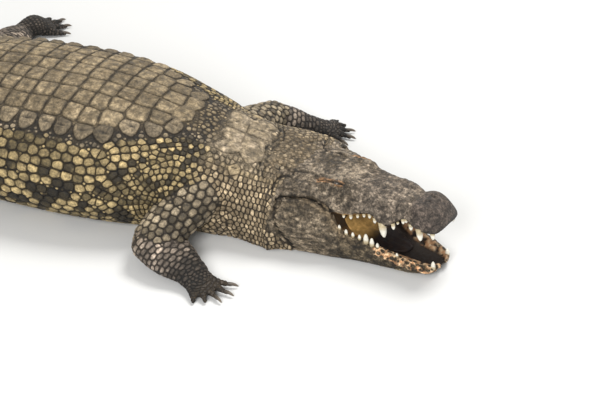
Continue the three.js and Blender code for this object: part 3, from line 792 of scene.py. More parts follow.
def shape_head(mesh):
    """Moves the head's points to give it lids, ears, nostrils, folds and rough bone."""
    points, normals = points_of(mesh), normals_of(mesh)
    index = np.flatnonzero(head_sizes(points)[0] > HEAD_FROM)
    own, facing = points[index], normals[index]
    along, aside, up, upper = head_places(own)
    wide = np.abs(aside)
    tree = tree_of(mesh)
    outer = np.where(in_mouth(along, wide, up, upper, facing), 0, 1)
    push = np.zeros(len(own))
    # The skull's table, with the ears under its edges.
    beside = between(76, 88, 96, 140, wide)
    push -= (upper * 11 * beside * step(-50, 0, along) * (1 - step(120, 165, along))
             * step(0.1, 0.5, facing[:, 2]))
    # Rough bone over the skull and snout, softer swellings over the tooth roots, and a blunt nose.
    rough = upper * outer * step(-0.2, 0.4, facing[:, 2])
    smooth_nose = step(430, 470, along)
    push += rough * (2.4 * noise(own, 26, 1) + 1.7 * noise(own, 12, 2)) * (1 - 0.75 * smooth_nose)
    push += outer * (1.6 * noise(own, 46, 3) + 0.9 * noise(own, 15, 4)) * (1 - 0.5 * smooth_nose)
    push += 3.0 * upper * step(515, 540, along) * step(0.2, 0.8, facing @ JAW_FORWARD)
    push += 5.0 * gum_knobs(own, along, aside, up, upper)
    roots = np.sin(along / 13.0 + 2 * noise(own, 60, 5))
    from_rim = up - np.where(upper, tooth_line(along), lower_top(along))
    push += outer * step(190, 230, along) * 1.6 * roots * bump(from_rim, np.where(upper, 14, -14), 14)
    moved = own + facing * push[:, None]
    for side in (-1, 1):
        found = {}
        for name in LINES:
            gap, share = found[name] = line_gap(own, tree, side, name)
            # Kept as they are now, because the skin is about to be pushed in along the lines.
            gaps, shares = np.full(len(points), 1e3), np.zeros(len(points))
            gaps[index], shares[index] = gap, share
            head_lines[side, name] = gaps, shares
        for name, half, depth, rim, fading in FURROWS:
            gap, share = found[name]
            fade = step(0, 0.12, share) * (1 - (step(fading, 1, share) if fading else 0))
            amount = -depth * bump(gap, 0, half) + rim * bump(gap, half * 2.1, half * 0.8)
            moved += facing * (amount * fade * outer)[:, None]
        moved = open_eye(moved, facing, upper, side, *found["eye"])
        gap, _ = found["nostril"]
        nostril = 1.8 * bump(gap, 9, 6) - 4 * bump(gap, 0, 3.0)
        moved = moved + facing * (nostril * upper)[:, None]
    points[index] = moved
    set_points(mesh, points)


def gum_knobs(points, along, aside, up, upper):
    """1 on the swollen knobs of gum along the rim of the lower jaw's front half, and 0 off them."""
    rim = np.abs(aside) / (lower_half_width(along) * lip_share(along))
    band = step(0.50, 0.60, rim) * step(25, 17, lower_top(along) - up) * step(316, 335, along)
    return ~upper * band * step(-0.5, -0.15, noise(points, 12, 33))


def in_mouth(along, wide, up, upper, facing):
    """Whether points are on the palate, or on the lower jaw's inner side."""
    palate = upper & (facing[:, 2] < -0.25) & (along > 150) & (
        up < tooth_line(along) + palate_rise(along) + 8)
    inner = ~upper & (along > 165) & (wide < lower_half_width(along) * lip_share(along) * 0.93) & (
        facing[:, 2] > -0.3) & (up > lower_top(along) - mouth_depth(along) - 8)
    return palate | inner


def eye_centre(side):
    along, aside, up = EYE_PLACE
    return head_point(along, side * aside, up, True)


LID_DEPTH = 3.4                   # how far the lids stand off the eyeball
SOCKET = 12.0                     # how near to the eye's centre the skin lies where the lids part


def open_eye(moved, facing, upper, side, gap, share):
    """Lids that follow the eyeball, thick at their rims, with a narrow gap between them."""
    centre = eye_centre(side)
    offset = moved - centre
    away = np.linalg.norm(offset, axis=1)
    way = offset / away[:, None]
    outward = way @ (JAW_LEFT * side)
    near = upper & (away < 40)
    lid = EYE_RADIUS + LID_DEPTH - 6 * (1 - step(0.1, 0.45, outward))
    moved = centre + way * np.where(near & (outward > 0.1), np.maximum(away, lid), away)[:, None]
    rims = 2.6 * bump(gap, 5.2, 2.6) - 4.2 * bump(gap, 0, 2.3)
    moved += facing * (rims * between(0, 0.1, 0.9, 1, share) * upper)[:, None]
    first, last = EYE_OPENING
    window = between(first, first + 0.1, last - 0.1, last, share)
    opened = np.where(near, window * (1 - step(2.6, 4.4, gap)), 0)
    offset = moved - centre
    away = np.linalg.norm(offset, axis=1)
    return centre + offset * (mix(away, np.minimum(away, SOCKET), opened) / away)[:, None]


CREASE_APART = 17                 # from one line of the neck's double crease to the other


def crease_at(t):
    """Where along the spine the crease across the top of the neck lies."""
    return 706 + 12 * np.sin(np.asarray(t) / 45.0) - 10 * step(60, 150, np.abs(t))


def on_crease(s, t):
    """Whether a body place is on the double crease across the top of the neck."""
    line = crease_at(t)
    gap = np.minimum(np.abs(s - line), np.abs(s - line + CREASE_APART))
    return gap < 6 and step(215, 170, np.abs(t)) > 0.3


def neck_creases(tree):
    """The two lines of the neck's crease, drawn on the skin."""
    arcs = np.arange(-190, 191, 12.0)
    lines = [[body_point(float(crease_at(t)) - behind, t) for t in arcs] for behind in (0, CREASE_APART)]
    return [np.array([tree.find_nearest(Vector(place))[0] for place in line]) for line in lines]


# ------------------------------------------------------------------ the finished skin
BODY_SHARE = 0.19                 # the share of the body's faces that is kept, behind the head
LOWEST = 2.5                      # the skin's height where the body rests on the floor


def finished_skin():
    """The one skin: smoothed at the legs' joins, plainer off the head, and shaped on it."""
    skin = first_skin()
    mesh = skin.data
    points, edges = points_of(mesh), edges_of(mesh)
    forward = head_sizes(points)[0]
    points = relax(points, edges, 4, 0.5)
    joins = step(-60, -95, forward) * leg_joins(points)
    points = relax(points, edges, 14, 0.5 * joins)
    points[:, 2] = np.maximum(points[:, 2], LOWEST)
    set_points(mesh, points)
    behind = forward < HEAD_FROM
    skin.vertex_groups.new(name="plain").add(np.flatnonzero(behind).tolist(), 1.0, "REPLACE")
    share = 1 - (1 - BODY_SHARE) * behind.mean()
    mesh = modified(skin, "DECIMATE", ratio=share, vertex_group="plain")
    skin.vertex_groups.clear()
    subdivided(mesh, finer(mesh))
    for reach in (24, 18):
        points = points_of(mesh)
        near = np.flatnonzero(np.abs(head_sizes(points)[0] + 128) < 110)
        gap = np.min([line_distance(points[near], line)[0] for line in neck_creases(tree_of(mesh))], axis=0)
        chosen = np.zeros(len(points), bool)
        chosen[near[gap < reach]] = True
        subdivided(mesh, chosen)
    points, edges = points_of(mesh), edges_of(mesh)
    forward = head_sizes(points)[0]
    points = relax(points, edges, 2, 0.5 * step(HEAD_FROM, HEAD_FROM + 20, forward))
    tip = step(488, 520, lower_back(forward, points[:, 2])[0]) * (points[:, 2] > 112)
    set_points(mesh, relax(points, edges, 10, 0.5 * tip))
    shape_head(mesh)
    points, normals = points_of(mesh), normals_of(mesh)
    for line in neck_creases(tree_of(mesh)):
        gap, share = line_distance(points, line)
        points -= normals * (6.5 * between(0, 0.12, 0.88, 1, share) * bump(gap, 0, 5.5))[:, None]
    set_points(mesh, points)
    mesh.shade_smooth()
    return skin


def leg_joins(points):
    """1 at the legs' joins with the body, and 0 away from them."""
    total = np.zeros(len(points))
    for leg in LEGS:
        place = mix(np.array(leg["root"], float), np.array(leg["joint"], float), 0.42)
        total += bump(np.linalg.norm(points - place, axis=1), 0, 130)
    return np.clip(total, 0, 1)


def finer(mesh):
    """The points round the eyes, ears, nostrils and folds, whose mesh needs to be finer."""
    points = points_of(mesh)
    chosen = np.zeros(len(points), bool)
    tree = tree_of(mesh)
    near = np.flatnonzero(head_sizes(points)[0] > HEAD_FROM)
    for side in (-1, 1):
        for name, reach in (("eye", 34), ("ear", 13), ("crease", 17), ("nostril", 26), ("fold", 13)):
            chosen[near] |= line_gap(points[near], tree, side, name)[0] < reach
    return chosen


# ------------------------------------------------------------------ markings, and painted shade
# The darkest, usual and palest colour of each region's hide, as linear values.
PALETTE = {
    "back": ((0.06, 0.045, 0.026), (0.20, 0.156, 0.096), (0.42, 0.335, 0.215)),
    "edge": ((0.04, 0.036, 0.030), (0.17, 0.139, 0.098), (0.42, 0.345, 0.24)),
    "flank": ((0.013, 0.010, 0.006), (0.115, 0.089, 0.044), (0.50, 0.385, 0.195)),
    "neck": ((0.06, 0.045, 0.026), (0.25, 0.193, 0.122), (0.54, 0.43, 0.285)),
    "nape": ((0.09, 0.07, 0.044), (0.275, 0.222, 0.15), (0.50, 0.41, 0.30)),
    "collar": ((0.06, 0.045, 0.027), (0.21, 0.163, 0.105), (0.43, 0.345, 0.235)),
    "belly": ((0.30, 0.24, 0.14), (0.46, 0.38, 0.24), (0.58, 0.50, 0.34)),
    "limb": ((0.045, 0.036, 0.023), (0.20, 0.163, 0.112), (0.45, 0.375, 0.265)),
    "foot": ((0.016, 0.013, 0.010), (0.052, 0.042, 0.034), (0.13, 0.108, 0.09)),
    "fore": ((0.030, 0.025, 0.020), (0.20, 0.163, 0.133), (0.56, 0.465, 0.385)),
    "skull": ((0.045, 0.035, 0.023), (0.165, 0.132, 0.096), (0.42, 0.35, 0.27)),
    "snout": ((0.05, 0.040, 0.031), (0.138, 0.112, 0.088), (0.31, 0.257, 0.204)),
    "cheek": ((0.03, 0.023, 0.013), (0.13, 0.103, 0.071), (0.38, 0.31, 0.225)),
    "jaw": ((0.018, 0.013, 0.007), (0.052, 0.040, 0.025), (0.19, 0.15, 0.098)),
    "tail": ((0.028, 0.022, 0.013), (0.15, 0.12, 0.072), (0.42, 0.33, 0.19)),
}
# Plain colours of single forms, as linear values too. The grooves' dark, the dark between the scales, and the
# nearly black eyeball and iris are painted shade.
(GROOVE_SHADE, PALATE, GUM, PALE_GUM, MOUTH_FLOOR, FLAKE, NOSE, LIP, EYE_RIM, SHADE_BETWEEN_SCALES, TOOTH, TOOTH_STAIN,
 CLAW_ROOT, CLAW_TIP, SHADED_EYEBALL, SHADED_IRIS, PUPIL, TONGUE, TONGUE_FRONT) = np.array((
     (0.014, 0.011, 0.008), (0.42, 0.24, 0.09), (0.60, 0.33, 0.17), (0.82, 0.60, 0.38),
     (0.012, 0.008, 0.006), (0.55, 0.51, 0.44), (0.118, 0.094, 0.079), (0.36, 0.27, 0.17),
     (0.34, 0.19, 0.095), (0.115, 0.11, 0.11), (0.82, 0.80, 0.72), (0.50, 0.42, 0.27),
     (0.035, 0.028, 0.022), (0.16, 0.13, 0.10), (0.012, 0.008, 0.006), (0.05, 0.032, 0.013),
     (0.004, 0.004, 0.004), (0.50, 0.31, 0.11), (0.018, 0.012, 0.009)))


def shade_of(region, share):
    """Region's colours, from its darkest at 0 to its palest at 1."""
    dark, usual, pale = (np.array(colour) for colour in PALETTE[region])
    share = np.clip(np.asarray(share, float), 0, 1)[..., None]
    return np.where(share < 0.5, mix(dark, usual, share * 2), mix(usual, pale, share * 2 - 1))


def blend(first, second, weight):
    return mix(first, second, np.asarray(weight)[..., None])


def body_colours(points, s, t, share):
    """Colours of body points. share is each scale's own luck from 0 to 1."""
    low = np.abs(t) / girth(s)
    patches = 0.5 + 0.5 * noise(points * (1, 1, 1.4), 120, 11) + 0.35 * noise(points, 45, 12)
    grain = noise(points, 13, 35)
    back = shade_of("back", 0.14 + 0.26 * share + 0.45 * patches + 0.34 * grain)
    edge = shade_of("edge", 0.6 * share + 0.4 * patches)
    # The flank's scales are mostly yellow tan, with clusters of nearly black ones.
    cluster = 0.62 * share + 0.42 * patches + 0.30 * noise(points, 60, 15)
    flank = shade_of("flank", np.where(cluster > 0.36, 0.38 + 0.6 * share, 0.18 * share + 0.25 * cluster))
    neck = shade_of("neck", 0.15 + 0.6 * share + 0.3 * patches)
    nape = shade_of("nape", 0.15 + 0.35 * share + 0.25 * patches + 0.45 * grain)
    belly = shade_of("belly", 0.5 * share + 0.4 * patches)
    rings = 0.5 + 0.5 * np.sin((s + 30 * noise(points, 200, 13)) / 23.0)
    tail = shade_of("tail", 0.55 * share + 0.45 * patches - 0.30 * step(0.45, 0.75, rings) + 0.1)
    shield = shield_edge(s)
    aside = np.abs(t)
    colours = blend(back, edge, step(shield - 60, shield - 10, aside))
    colours = blend(colours, flank, step(shield - 8, shield + 26, aside))
    colours = blend(colours, nape, step(500, 540, s) * (1 - step(150, 190, aside)))
    colours = blend(colours, neck, step(480, 560, s) * step(150, 190, aside))
    collar = shade_of("collar", 0.5 * share + 0.4 * patches)
    in_collar = step(688, 702, s + 20 * noise(points, 60, 28)) * (1 - step(120, 210, aside))
    colours = blend(colours, collar, in_collar)
    colours = blend(colours, tail, 1 - step(-820, -620, s))
    return blend(colours, belly, step(0.86, 0.94, low))


def limb_colours(points, share, length_share, on_foot):
    """Olive tan on the upper leg, dark grey brown on the lower leg, and nearly black on the foot."""
    patches = 0.5 + 0.5 * noise(points, 70, 14) + 0.25 * noise(points, 25, 15)
    limb_hide = shade_of("limb", 0.75 * share + 0.3 * patches)
    fore_hide = shade_of("fore", 0.6 * share + 0.35 * patches)
    foot_hide = shade_of("foot", 0.5 * share + 0.4 * patches)
    colours = blend(limb_hide, fore_hide, step(0.85, 1.25, length_share))
    return blend(colours, foot_hide, np.where(on_foot, 1.0, step(1.45, 1.95, length_share)))


def head_colours(points, along, aside, up, upper, share):
    wide = np.abs(aside)
    grit = noise(points, 3.2, 17)
    speckle = 0.56 + 0.40 * noise(points, 60, 16) + 0.55 * noise(points, 13, 18) + 0.40 * grit
    luck = 0.1 * share + 0.9 * speckle
    skull = shade_of("skull", luck)
    flakes = (step(0.28, 0.55, noise(points, 8, 19) * 0.7 + 0.5 * grit)
              * step(-0.2, 0.3, noise(points, 60, 20)))
    flakes = flakes * (1 - step(180, 240, along)) * step(40, 70, aside + 20 * noise(points, 40, 26))
    skull = blend(skull, FLAKE, 0.85 * flakes)
    colours = blend(skull, shade_of("snout", luck), step(215, 300, along))
    # The tip of the snout is smooth and purplish grey.
    mottle = 0.35 + 0.9 * luck + 0.35 * noise(points, 26, 36) + 0.3 * noise(points, 7, 37)
    mottle = mottle * mix(0.45, 1.0, step(2, 20, up - tooth_line(along)))
    tip = NOSE * np.maximum(mottle, 0.12)[..., None]
    colours = blend(colours, tip, step(432, 468, along + 8 * noise(points, 22, 29)))
    streaks = 0.5 + 0.8 * noise(points * (0.25, 0.25, 1.0), 5.5, 27)
    cheek = blend(shade_of("cheek", 0.5 * luck + 0.5 * streaks), shade_of("jaw", luck), step(150, 250, along))
    lip = bump(up - lower_top(along), -9, 9) * step(300, 200, along) * step(60, 120, along)
    cheek = blend(cheek, LIP, 0.55 * lip)
    under = blend(cheek, shade_of("belly", 0.6 * luck), step(16, 4, up) * (wide < 90))
    return np.where(upper[..., None], colours, under)


# ------------------------------------------------------------------ where the scales grow
# How far round from the back's middle the large plates reach.
shield_edge = smooth([
    (TAIL_TIP, 20), (CREST_JOIN, 30), (-1400, 60), (-1000, 110), (CREST_START, 176), (-480, 246), (-380, 290),
    (180, 292), (240, 238), (330, 190), (400, 146), (470, 112), (HEAD_START, 110)])


SEED_BOX = 45.0                   # the side of the boxes that near scales are looked up by
SEED_REACH_SQUARED = 8000


class Seeds:
    """Scale places on the skin. Each has a frame, two half sizes, a height, a kind and its own luck."""

    def __init__(self, tree):
        self.tree = tree
        self.rows = []
        self.grid = {}

    def box(self, point):
        return tuple(np.floor(point / SEED_BOX).astype(int).tolist())

    def clashes(self, point, normal, radius, ease):
        """Whether an earlier scale is nearer than that share of their joint size."""
        x0, y0, z0 = self.box(point)
        for dx, dy, dz in product((-1, 0, 1), repeat=3):
            for row in self.grid.get((x0 + dx, y0 + dy, z0 + dz), ()):
                gap = point - row["point"]
                if gap @ gap > SEED_REACH_SQUARED or normal @ row["normal"] < 0.1:
                    continue
                x = (gap @ row["ahead"]) / (row["long"] + radius)
                y = (gap @ row["across"]) / (row["wide"] + radius)
                if x * x + y * y < ease * ease:
                    return True
        return False

    def add(self, place, ahead, long, wide, height, kind, region, chart, extra, reach=12.0, ease=0.9):
        """Adds a scale near a place if the skin is there and no earlier scale is in the way."""
        found = self.tree.find_nearest(Vector(place), reach)
        if found[0] is None:
            return
        point, normal = np.array(found[0]), np.array(found[1])
        if self.clashes(point, normal, min(long, wide), ease):
            return
        ahead = ahead - normal * (ahead @ normal)
        size = np.linalg.norm(ahead)
        if size < 0.1:
            return
        ahead = ahead / size
        row = {"point": point, "normal": normal, "ahead": ahead, "across": np.cross(normal, ahead),
               "long": long, "wide": wide, "height": height, "kind": kind, "region": region, "chart": chart,
               "luck": RNG.random(), "extra": extra}
        self.rows.append(row)
        self.grid.setdefault(self.box(point), []).append(row)


def body_chart(s, t):
    """Where a body place lies on the unwrap that the coat is baked by."""
    return 0.01 + 0.97 * (s - TAIL_TIP) / (HEAD_START - TAIL_TIP + 40), 0.27 + t / 4200


def add_body(seeds, s, t, long, wide, height, kind, **more):
    seeds.add(body_point(s, t), spine_at(s)[1], long, wide, height, kind, "body", body_chart(s, t), (s, t),
              **more)


DORSAL_PITCH = 68.0
DORSAL_END = 440.0
# The shields of the nape, as (s, t, half length, half width).
NAPE_SCUTES = [(562, 34, 41, 36), (562, 102, 40, 35), (640, 36, 41, 36), (644, 105, 40, 35),
               (603, 168, 32, 32)]
flank_long = smooth([
    (TAIL_TIP, 22), (-640, 27), (-480, 32), (-250, 40), (60, 40), (200, 34), (330, 27), (430, 20), (520, 17),
    (HEAD_START, 14)])
flank_tall = smooth([
    (TAIL_TIP, 22), (-640, 26), (-480, 28), (-250, 33), (60, 33), (200, 29), (330, 24), (430, 19), (520, 20),
    (HEAD_START, 19)])


def jitter(amount):
    return (RNG.random() - 0.5) * 2 * amount


def grow_back(seeds):
    """The nape's shields, and the back's cross rows of plates with an oval at each end."""
    for s, t, long, wide in NAPE_SCUTES:
        for side in (-1, 1):
            add_body(seeds, s + jitter(2), side * t, long, wide, 4.2, "nape", ease=0.6)
    s, row = DORSAL_END - DORSAL_PITCH / 2, 0
    while s > CREST_START + 10:
        row += 1
        edge = float(shield_edge(s))
        columns = max(int(round(edge / 66)), 1)
        width = edge / columns
        for side, column in product((-1, 1), range(columns)):
            last = column == columns - 1
            t = side * (column + 0.5) * width
            wave = 6 * math.sin(t / 85 + row * 1.4)
            add_body(seeds, s + wave + jitter(4.0) - (4 if last else 0), t + jitter(4.5),
                     DORSAL_PITCH / 2 - last, width / 2 + last, 5.6 if last else 4.6,
                     "oval" if last and s > -520 else "plate", ease=0.7)
        s -= DORSAL_PITCH * (0.9 if s < -420 else 1.0)


CREST_COUNT = int((CREST_START - CREST_END) / CREST_PITCH)


def crest_places():
    """The tail's rings of scales, from front to back, one below each upright plate of the crest."""
    return [CREST_START - (whorl + 0.5) * CREST_PITCH for whorl in range(CREST_COUNT)]


def crest_arc(s):
    """How far round from the back's middle a crest plate stands."""
    return float(crest_spread(max(s, CREST_JOIN))) if s > CREST_JOIN else 0.0


def grow_tail(seeds):
    for s in crest_places():
        spread, half = crest_arc(s), float(girth(s))
        inner = int(round(spread / 30)) if spread > 24 else 0
        start = spread + 13
        columns = max(int(round((half - start) / float(mix(26, 36, step(-2300, -900, s))))), 1)
        width = (half - start) / columns
        for side in (-1, 1):
            for column in range(inner):
                add_body(seeds, s, side * (column + 0.5) * (spread - 10) / inner, CREST_PITCH / 2,
                         (spread - 10) / inner / 2, 4.5, "plate", ease=0.6)
            for column in range(columns):
                t = start + (column + 0.5) * width
                add_body(seeds, s + jitter(2), side * t, CREST_PITCH / 2, width / 2,
                         4.2 if t < half * 0.75 else 2.6, "tail", ease=0.6)


SHOULDER_RINGS = (92.0, 190)      # the smallest and largest radius of the rings


def grow_shoulders(seeds):
    """Rings of small scales round the root of each front leg."""
    for leg in LEGS[:2]:
        side = leg["side"]
        centre_s = mix(leg["root"][0], leg["joint"][0], 0.30) + 14
        centre_t = side * float(girth(centre_s)) * 0.60
        ring, radius = 0, SHOULDER_RINGS[0]
        while radius < SHOULDER_RINGS[1]:
            pitch = 16 + 3 * (radius - SHOULDER_RINGS[0]) / 100
            for angle in turns(int(2 * math.pi * radius / (pitch * 1.12)), 0.5 * (ring % 2)):
                s, t = centre_s + math.cos(angle) * radius, centre_t + side * math.sin(angle) * radius
                if s > centre_s + 120 or t * side < 0 or not shield_edge(s) + 16 <= abs(t) <= girth(s) - 20:
                    continue
                seeds.add(body_point(s, t), spine_at(s)[1] * math.cos(angle) - UP * math.sin(angle),
                          pitch / 2, pitch * 0.56, 3.6, "bead", "body", body_chart(s, t), (s, t), ease=0.85)
            radius += pitch
            ring += 1


NECK_LAST = HEAD_START - 4.0      # the last place along the spine whose colours the neck takes


def fold_at(up):
    """How far forward the fold behind the jaw lies at a height."""
    return np.interp(up, (16, 58, 92, 125, 165), (85, 46, 13, -20, -10))


def behind_fold(along, up):
    return up < 165 and along < fold_at(up) - 4


def grow_jowls(seeds):
    """The neck's rows carried on over the root of the lower jaw, as far as its fold."""
    for side, row in product((-1, 1), range(40)):
        t = 118 + (row + 0.5) * 19.0
        if t > girth(HEAD_START) - 12:
            continue
        start = body_point(HEAD_START, side * t)
        for forward in np.arange((row % 2) * 7.0, 100, 15):
            found = seeds.tree.find_nearest(Vector(start + JAW_FORWARD * forward), 60)[0]
            if found is None:
                continue
            ahead, _, height = head_sizes(np.array([found]))
            if behind_fold(float(ahead[0]), float(height[0])):
                seeds.add(np.array(found), JAW_FORWARD, 7.6, 9.6, 2.6, "flank", "body",
                          body_chart(HEAD_START, side * t), (NECK_LAST, side * t), ease=0.7)


def grow_flanks(seeds):
    """Rows along the body that fan out from the shield's edge to the middle of the belly."""
    for side, row in product((-1, 1), range(60)):
        s = -655.0 + (row % 2) * 18 + jitter(4)
        drift = jitter(2)
        while s < NECK_LAST:
            long, tall, half = float(flank_long(s)), float(flank_tall(s)), float(girth(s))
            t = float(shield_edge(s)) + 9 + (row + 0.5) * tall + drift + 3 * math.sin(s / 60 + row)
            if t < half - tall * 0.3:
                flat = t / half > 0.8
                add_body(seeds, s + jitter(long * 0.06), side * (t + jitter(tall * 0.05)), long / 2, tall / 2,
                         2.4 if flat else min(4.8, 0.13 * long + 0.6), "belly" if flat else "flank",
                         ease=0.62)
            s += long


def limb_stations(line, pitch_at):
    """Places along a limb's line that are a pitch apart, as (point index, share)."""
    travelled = np.concatenate([[0], np.cumsum(np.linalg.norm(np.diff(line, axis=0), axis=1))])
    place = 0.0
    while place < travelled[-1]:
        share = place / travelled[-1]
        yield int(np.argmin(np.abs(travelled - place))), share
        place += pitch_at(share)


def leg_chart(leg_index, place, round_share):
    """Where a leg's place lies on the unwrap that the coat is baked by."""
    return 0.02 + 0.24 * leg_index + 0.22 * place / 4, 0.58 + 0.38 * round_share


def grow_limb(seeds, leg_index, stage, length, pitch, around, height, kind):
    """Rings of scales along one length of a leg. pitch, around and height are given for both of its ends."""
    line, wide, tall = length["line"], length["wide"], length["tall"]
    for row, (i, share) in enumerate(limb_stations(line, lambda share: mix(*pitch, share))):
        girdle = math.pi * (wide[i] + tall[i])
        count = max(int(round(girdle / mix(*around, share))), 3)
        for angle in turns(count, 0.5 * (row % 2)):
            place = (line[i] + length["across"][i] * math.cos(angle) * wide[i]
                     + length["lift"][i] * math.sin(angle) * tall[i])
            if place[2] < 3:
                continue
            seeds.add(place, length["along"][i], mix(*pitch, share) / 2, girdle / count / 2,
                      mix(*height, share), kind, "leg",
                      leg_chart(leg_index, stage + share, angle / (2 * math.pi)),
                      (leg_index, stage + share), reach=9.0, ease=0.8)


def grow_legs(seeds):
    for index, leg in enumerate(LEGS):
        upper, lower, palm, *toes = leg["lengths"]
        large = 1.0 if leg["kind"] is FRONT else 1.12
        grow_limb(seeds, index, 0, upper, (36 * large, 25), (31 * large, 26), (4.8, 4.2), "bead")
        grow_limb(seeds, index, 1, lower, (21, 13), (32, 22), (3.8, 2.4), "band")
        for number, toe in enumerate(toes):
            grow_limb(seeds, index, 3 + number * 0.1, toe, (11, 9), (19, 13), (2.2, 1.6), "band")
        grow_limb(seeds, index, 2, palm, (11, 10), (12, 12), (2.2, 1.8), "grain")


GRAIN_AHEAD = np.array((1.0, 0.2, 0.1))
GRAIN_SIZES = ((9.0, 0.6), (5.0, 1.0))    # each size of grain, and the share of the spots that are tried for it
GRAIN_SPOTS = 60000               # the places tried all over the skin for a grain, and on the head for a scale
HEAD_SPOTS = 26000


def grow_between(seeds, points, normals, places):
    """Small grains in the gaps that the rows leave."""
    order = RNG.permutation(len(points))
    for radius, share in GRAIN_SIZES:
        for i in order[: int(len(order) * share)]:
            region, extra, chart = places[i]
            point, normal = points[i], normals[i]
            if region == "head" or point[2] < 6 and normal[2] < -0.5:
                continue
            if region == "body":
                s, t = extra
                on_shield = -650 < s < DORSAL_END and abs(t) < shield_edge(s) - 20
                if on_shield or 515 < s < 690 and abs(t) < 140 or on_crease(s, t):
                    continue
            if not seeds.clashes(point, normal, radius, 0.93):
                seeds.add(point, GRAIN_AHEAD, radius, radius * 0.92, 0.22 * radius + 0.5, "grain", region,
                          chart, extra, ease=0.93)


# ------------------------------------------------------------------ the scales' own shapes
# Each kind's corners, its rings' sizes from the rim to the middle, and their heights as shares of the scale's.
# Then the cap on how far a scale reaches, how square it is, and its groove's half across and along the body.
KINDS = {
    "plate": (28, (1.0, 0.97, 0.88, 0.70, 0.45, 0.2), (-0.3, 0.45, 0.86, 1.0, 1.04, 1.06), (1.6, 26, 0.5, 1.7)),
    "oval": (28, (1.0, 0.96, 0.84, 0.64, 0.42, 0.2), (-0.3, 0.40, 0.80, 1.04, 1.2, 1.28), (1.45, 10, 1.6, 1.8)),
    "nape": (28, (1.0, 0.96, 0.86, 0.66, 0.42, 0.2), (-0.3, 0.42, 0.84, 1.06, 1.22, 1.3), (1.6, 16, 0.6, 0.8)),
    "tail": (16, (1.0, 0.95, 0.80, 0.45), (-0.35, 0.5, 0.92, 1.05), (1.5, 20, 0.9, 1.8)),
    "flank": (14, (1.0, 0.94, 0.78, 0.42), (-0.35, 0.5, 0.9, 1.06), (1.5, 20, 0.9, 1.0)),
    "bead": (12, (1.0, 0.92, 0.72, 0.36), (-0.35, 0.5, 0.92, 1.1), (1.5, 16, 0.9, 1.0)),
    "band": (12, (1.0, 0.92, 0.66), (-0.4, 0.62, 1.0), (1.5, 16, 1.1, 1.1)),
    "belly": (12, (1.0, 0.93, 0.6), (-0.4, 0.7, 1.0), (1.5, 20, 1.1, 1.1)),
    "grain": (8, (1.0, 0.86, 0.5), (-0.5, 0.62, 1.0), (1.3, 9, 0.7, 0.7)),
    "hide": (8, (1.0, 0.84, 0.48), (-0.7, 0.66, 1.0), (1.3, 9, 0.3, 0.3)),
}
LARGE = ("plate", "oval", "nape")
NEIGHBOURS = 15
SMALLEST_SHARE = 0.34


def arrays_of(rows):
    return {name: np.array([row[name] for row in rows]) for name in
            ("point", "normal", "ahead", "across", "long", "wide", "height", "luck", "chart")}


def outlines(own, data, near, corners, shape):
    """How far each scale reaches at its corners' angles, sharing the gaps to its neighbours."""
    cap, power, across_groove, along_groove = shape
    angles = turns(corners)
    long, wide = data["long"][own][:, None], data["wide"][own][:, None]
    offset = data["point"][near] - data["point"][own][:, None]
    x = np.einsum("skc,sc->sk", offset, data["ahead"][own]) / long
    y = np.einsum("skc,sc->sk", offset, data["across"][own]) / wide
    rho = np.maximum(np.hypot(x, y), 1e-3)
    size_here = np.sqrt((x * long) ** 2 + (y * wide) ** 2) / rho
    size_there = np.sqrt(data["long"][near] * data["wide"][near])
    share = np.clip(size_here / (size_here + size_there), 0.25, 0.75)
    facing = np.einsum("skc,sc->sk", data["normal"][near], data["normal"][own])
    cosine = np.cos(angles[None, None] - np.arctan2(y, x)[..., None])
    valid = (cosine > 0.03) & (facing > 0.15)[..., None] & (rho < 6)[..., None]
    reach = np.where(valid, (rho * share)[..., None] / np.maximum(cosine, 0.03), 1e3)
    radius = ((reach ** -power).sum(1) + cap ** -power) ** (-1 / power)
    along, across = np.abs(np.cos(angles)), np.abs(np.sin(angles))
    spread = np.sqrt((along * long) ** 2 + (across * wide) ** 2)
    groove = (along_groove * along * long + across_groove * across * wide) / (along * long + across * wide)
    return angles, radius - groove / spread


def keel_lift(kind, x, y, height, luck):
    """The ridge and slit that a large scale carries. x and y are shares of its half sizes."""
    if kind == "plate":
        ridge = 0.30 * bump(y, 0, 0.16) * step(0.75, -0.35, x) * (1 - step(0.55, 0.9, np.abs(x)))
        return height * ridge * (0.6 + 0.8 * luck)
    if kind == "oval":
        ridge = 0.75 * bump(y, -0.1, 0.2) * (1 - step(0.45, 0.95, np.abs(x)))
        slit = -0.6 * bump(y, 0.22, 0.09) * (1 - step(0.25, 0.6, np.abs(x)))
        return height * (ridge + slit)
    if kind == "nape":
        ridge = 0.55 * bump(y, -0.14, 0.22) * (1 - step(0.35, 0.9, np.abs(x + 0.1)))
        slit = -0.9 * bump(y, 0.10, 0.08) * (1 - step(0.2, 0.42, np.abs(x + 0.1)))
        return height * (ridge + slit)
    if kind == "tail":
        return height * 0.3 * bump(y, 0, 0.3) * (1 - step(0.5, 0.95, np.abs(x)))
    return np.zeros_like(x)


# Each large scale's slit beside its ridge, painted dark as the shadow under the ridge: how dark, where across
# the scale, and its half length.
SLIT_SHADOWS = {"plate": (0.35, 0.05, 0.5), "oval": (0.9, 0.22, 0.5), "nape": (0.95, 0.10, 0.36)}


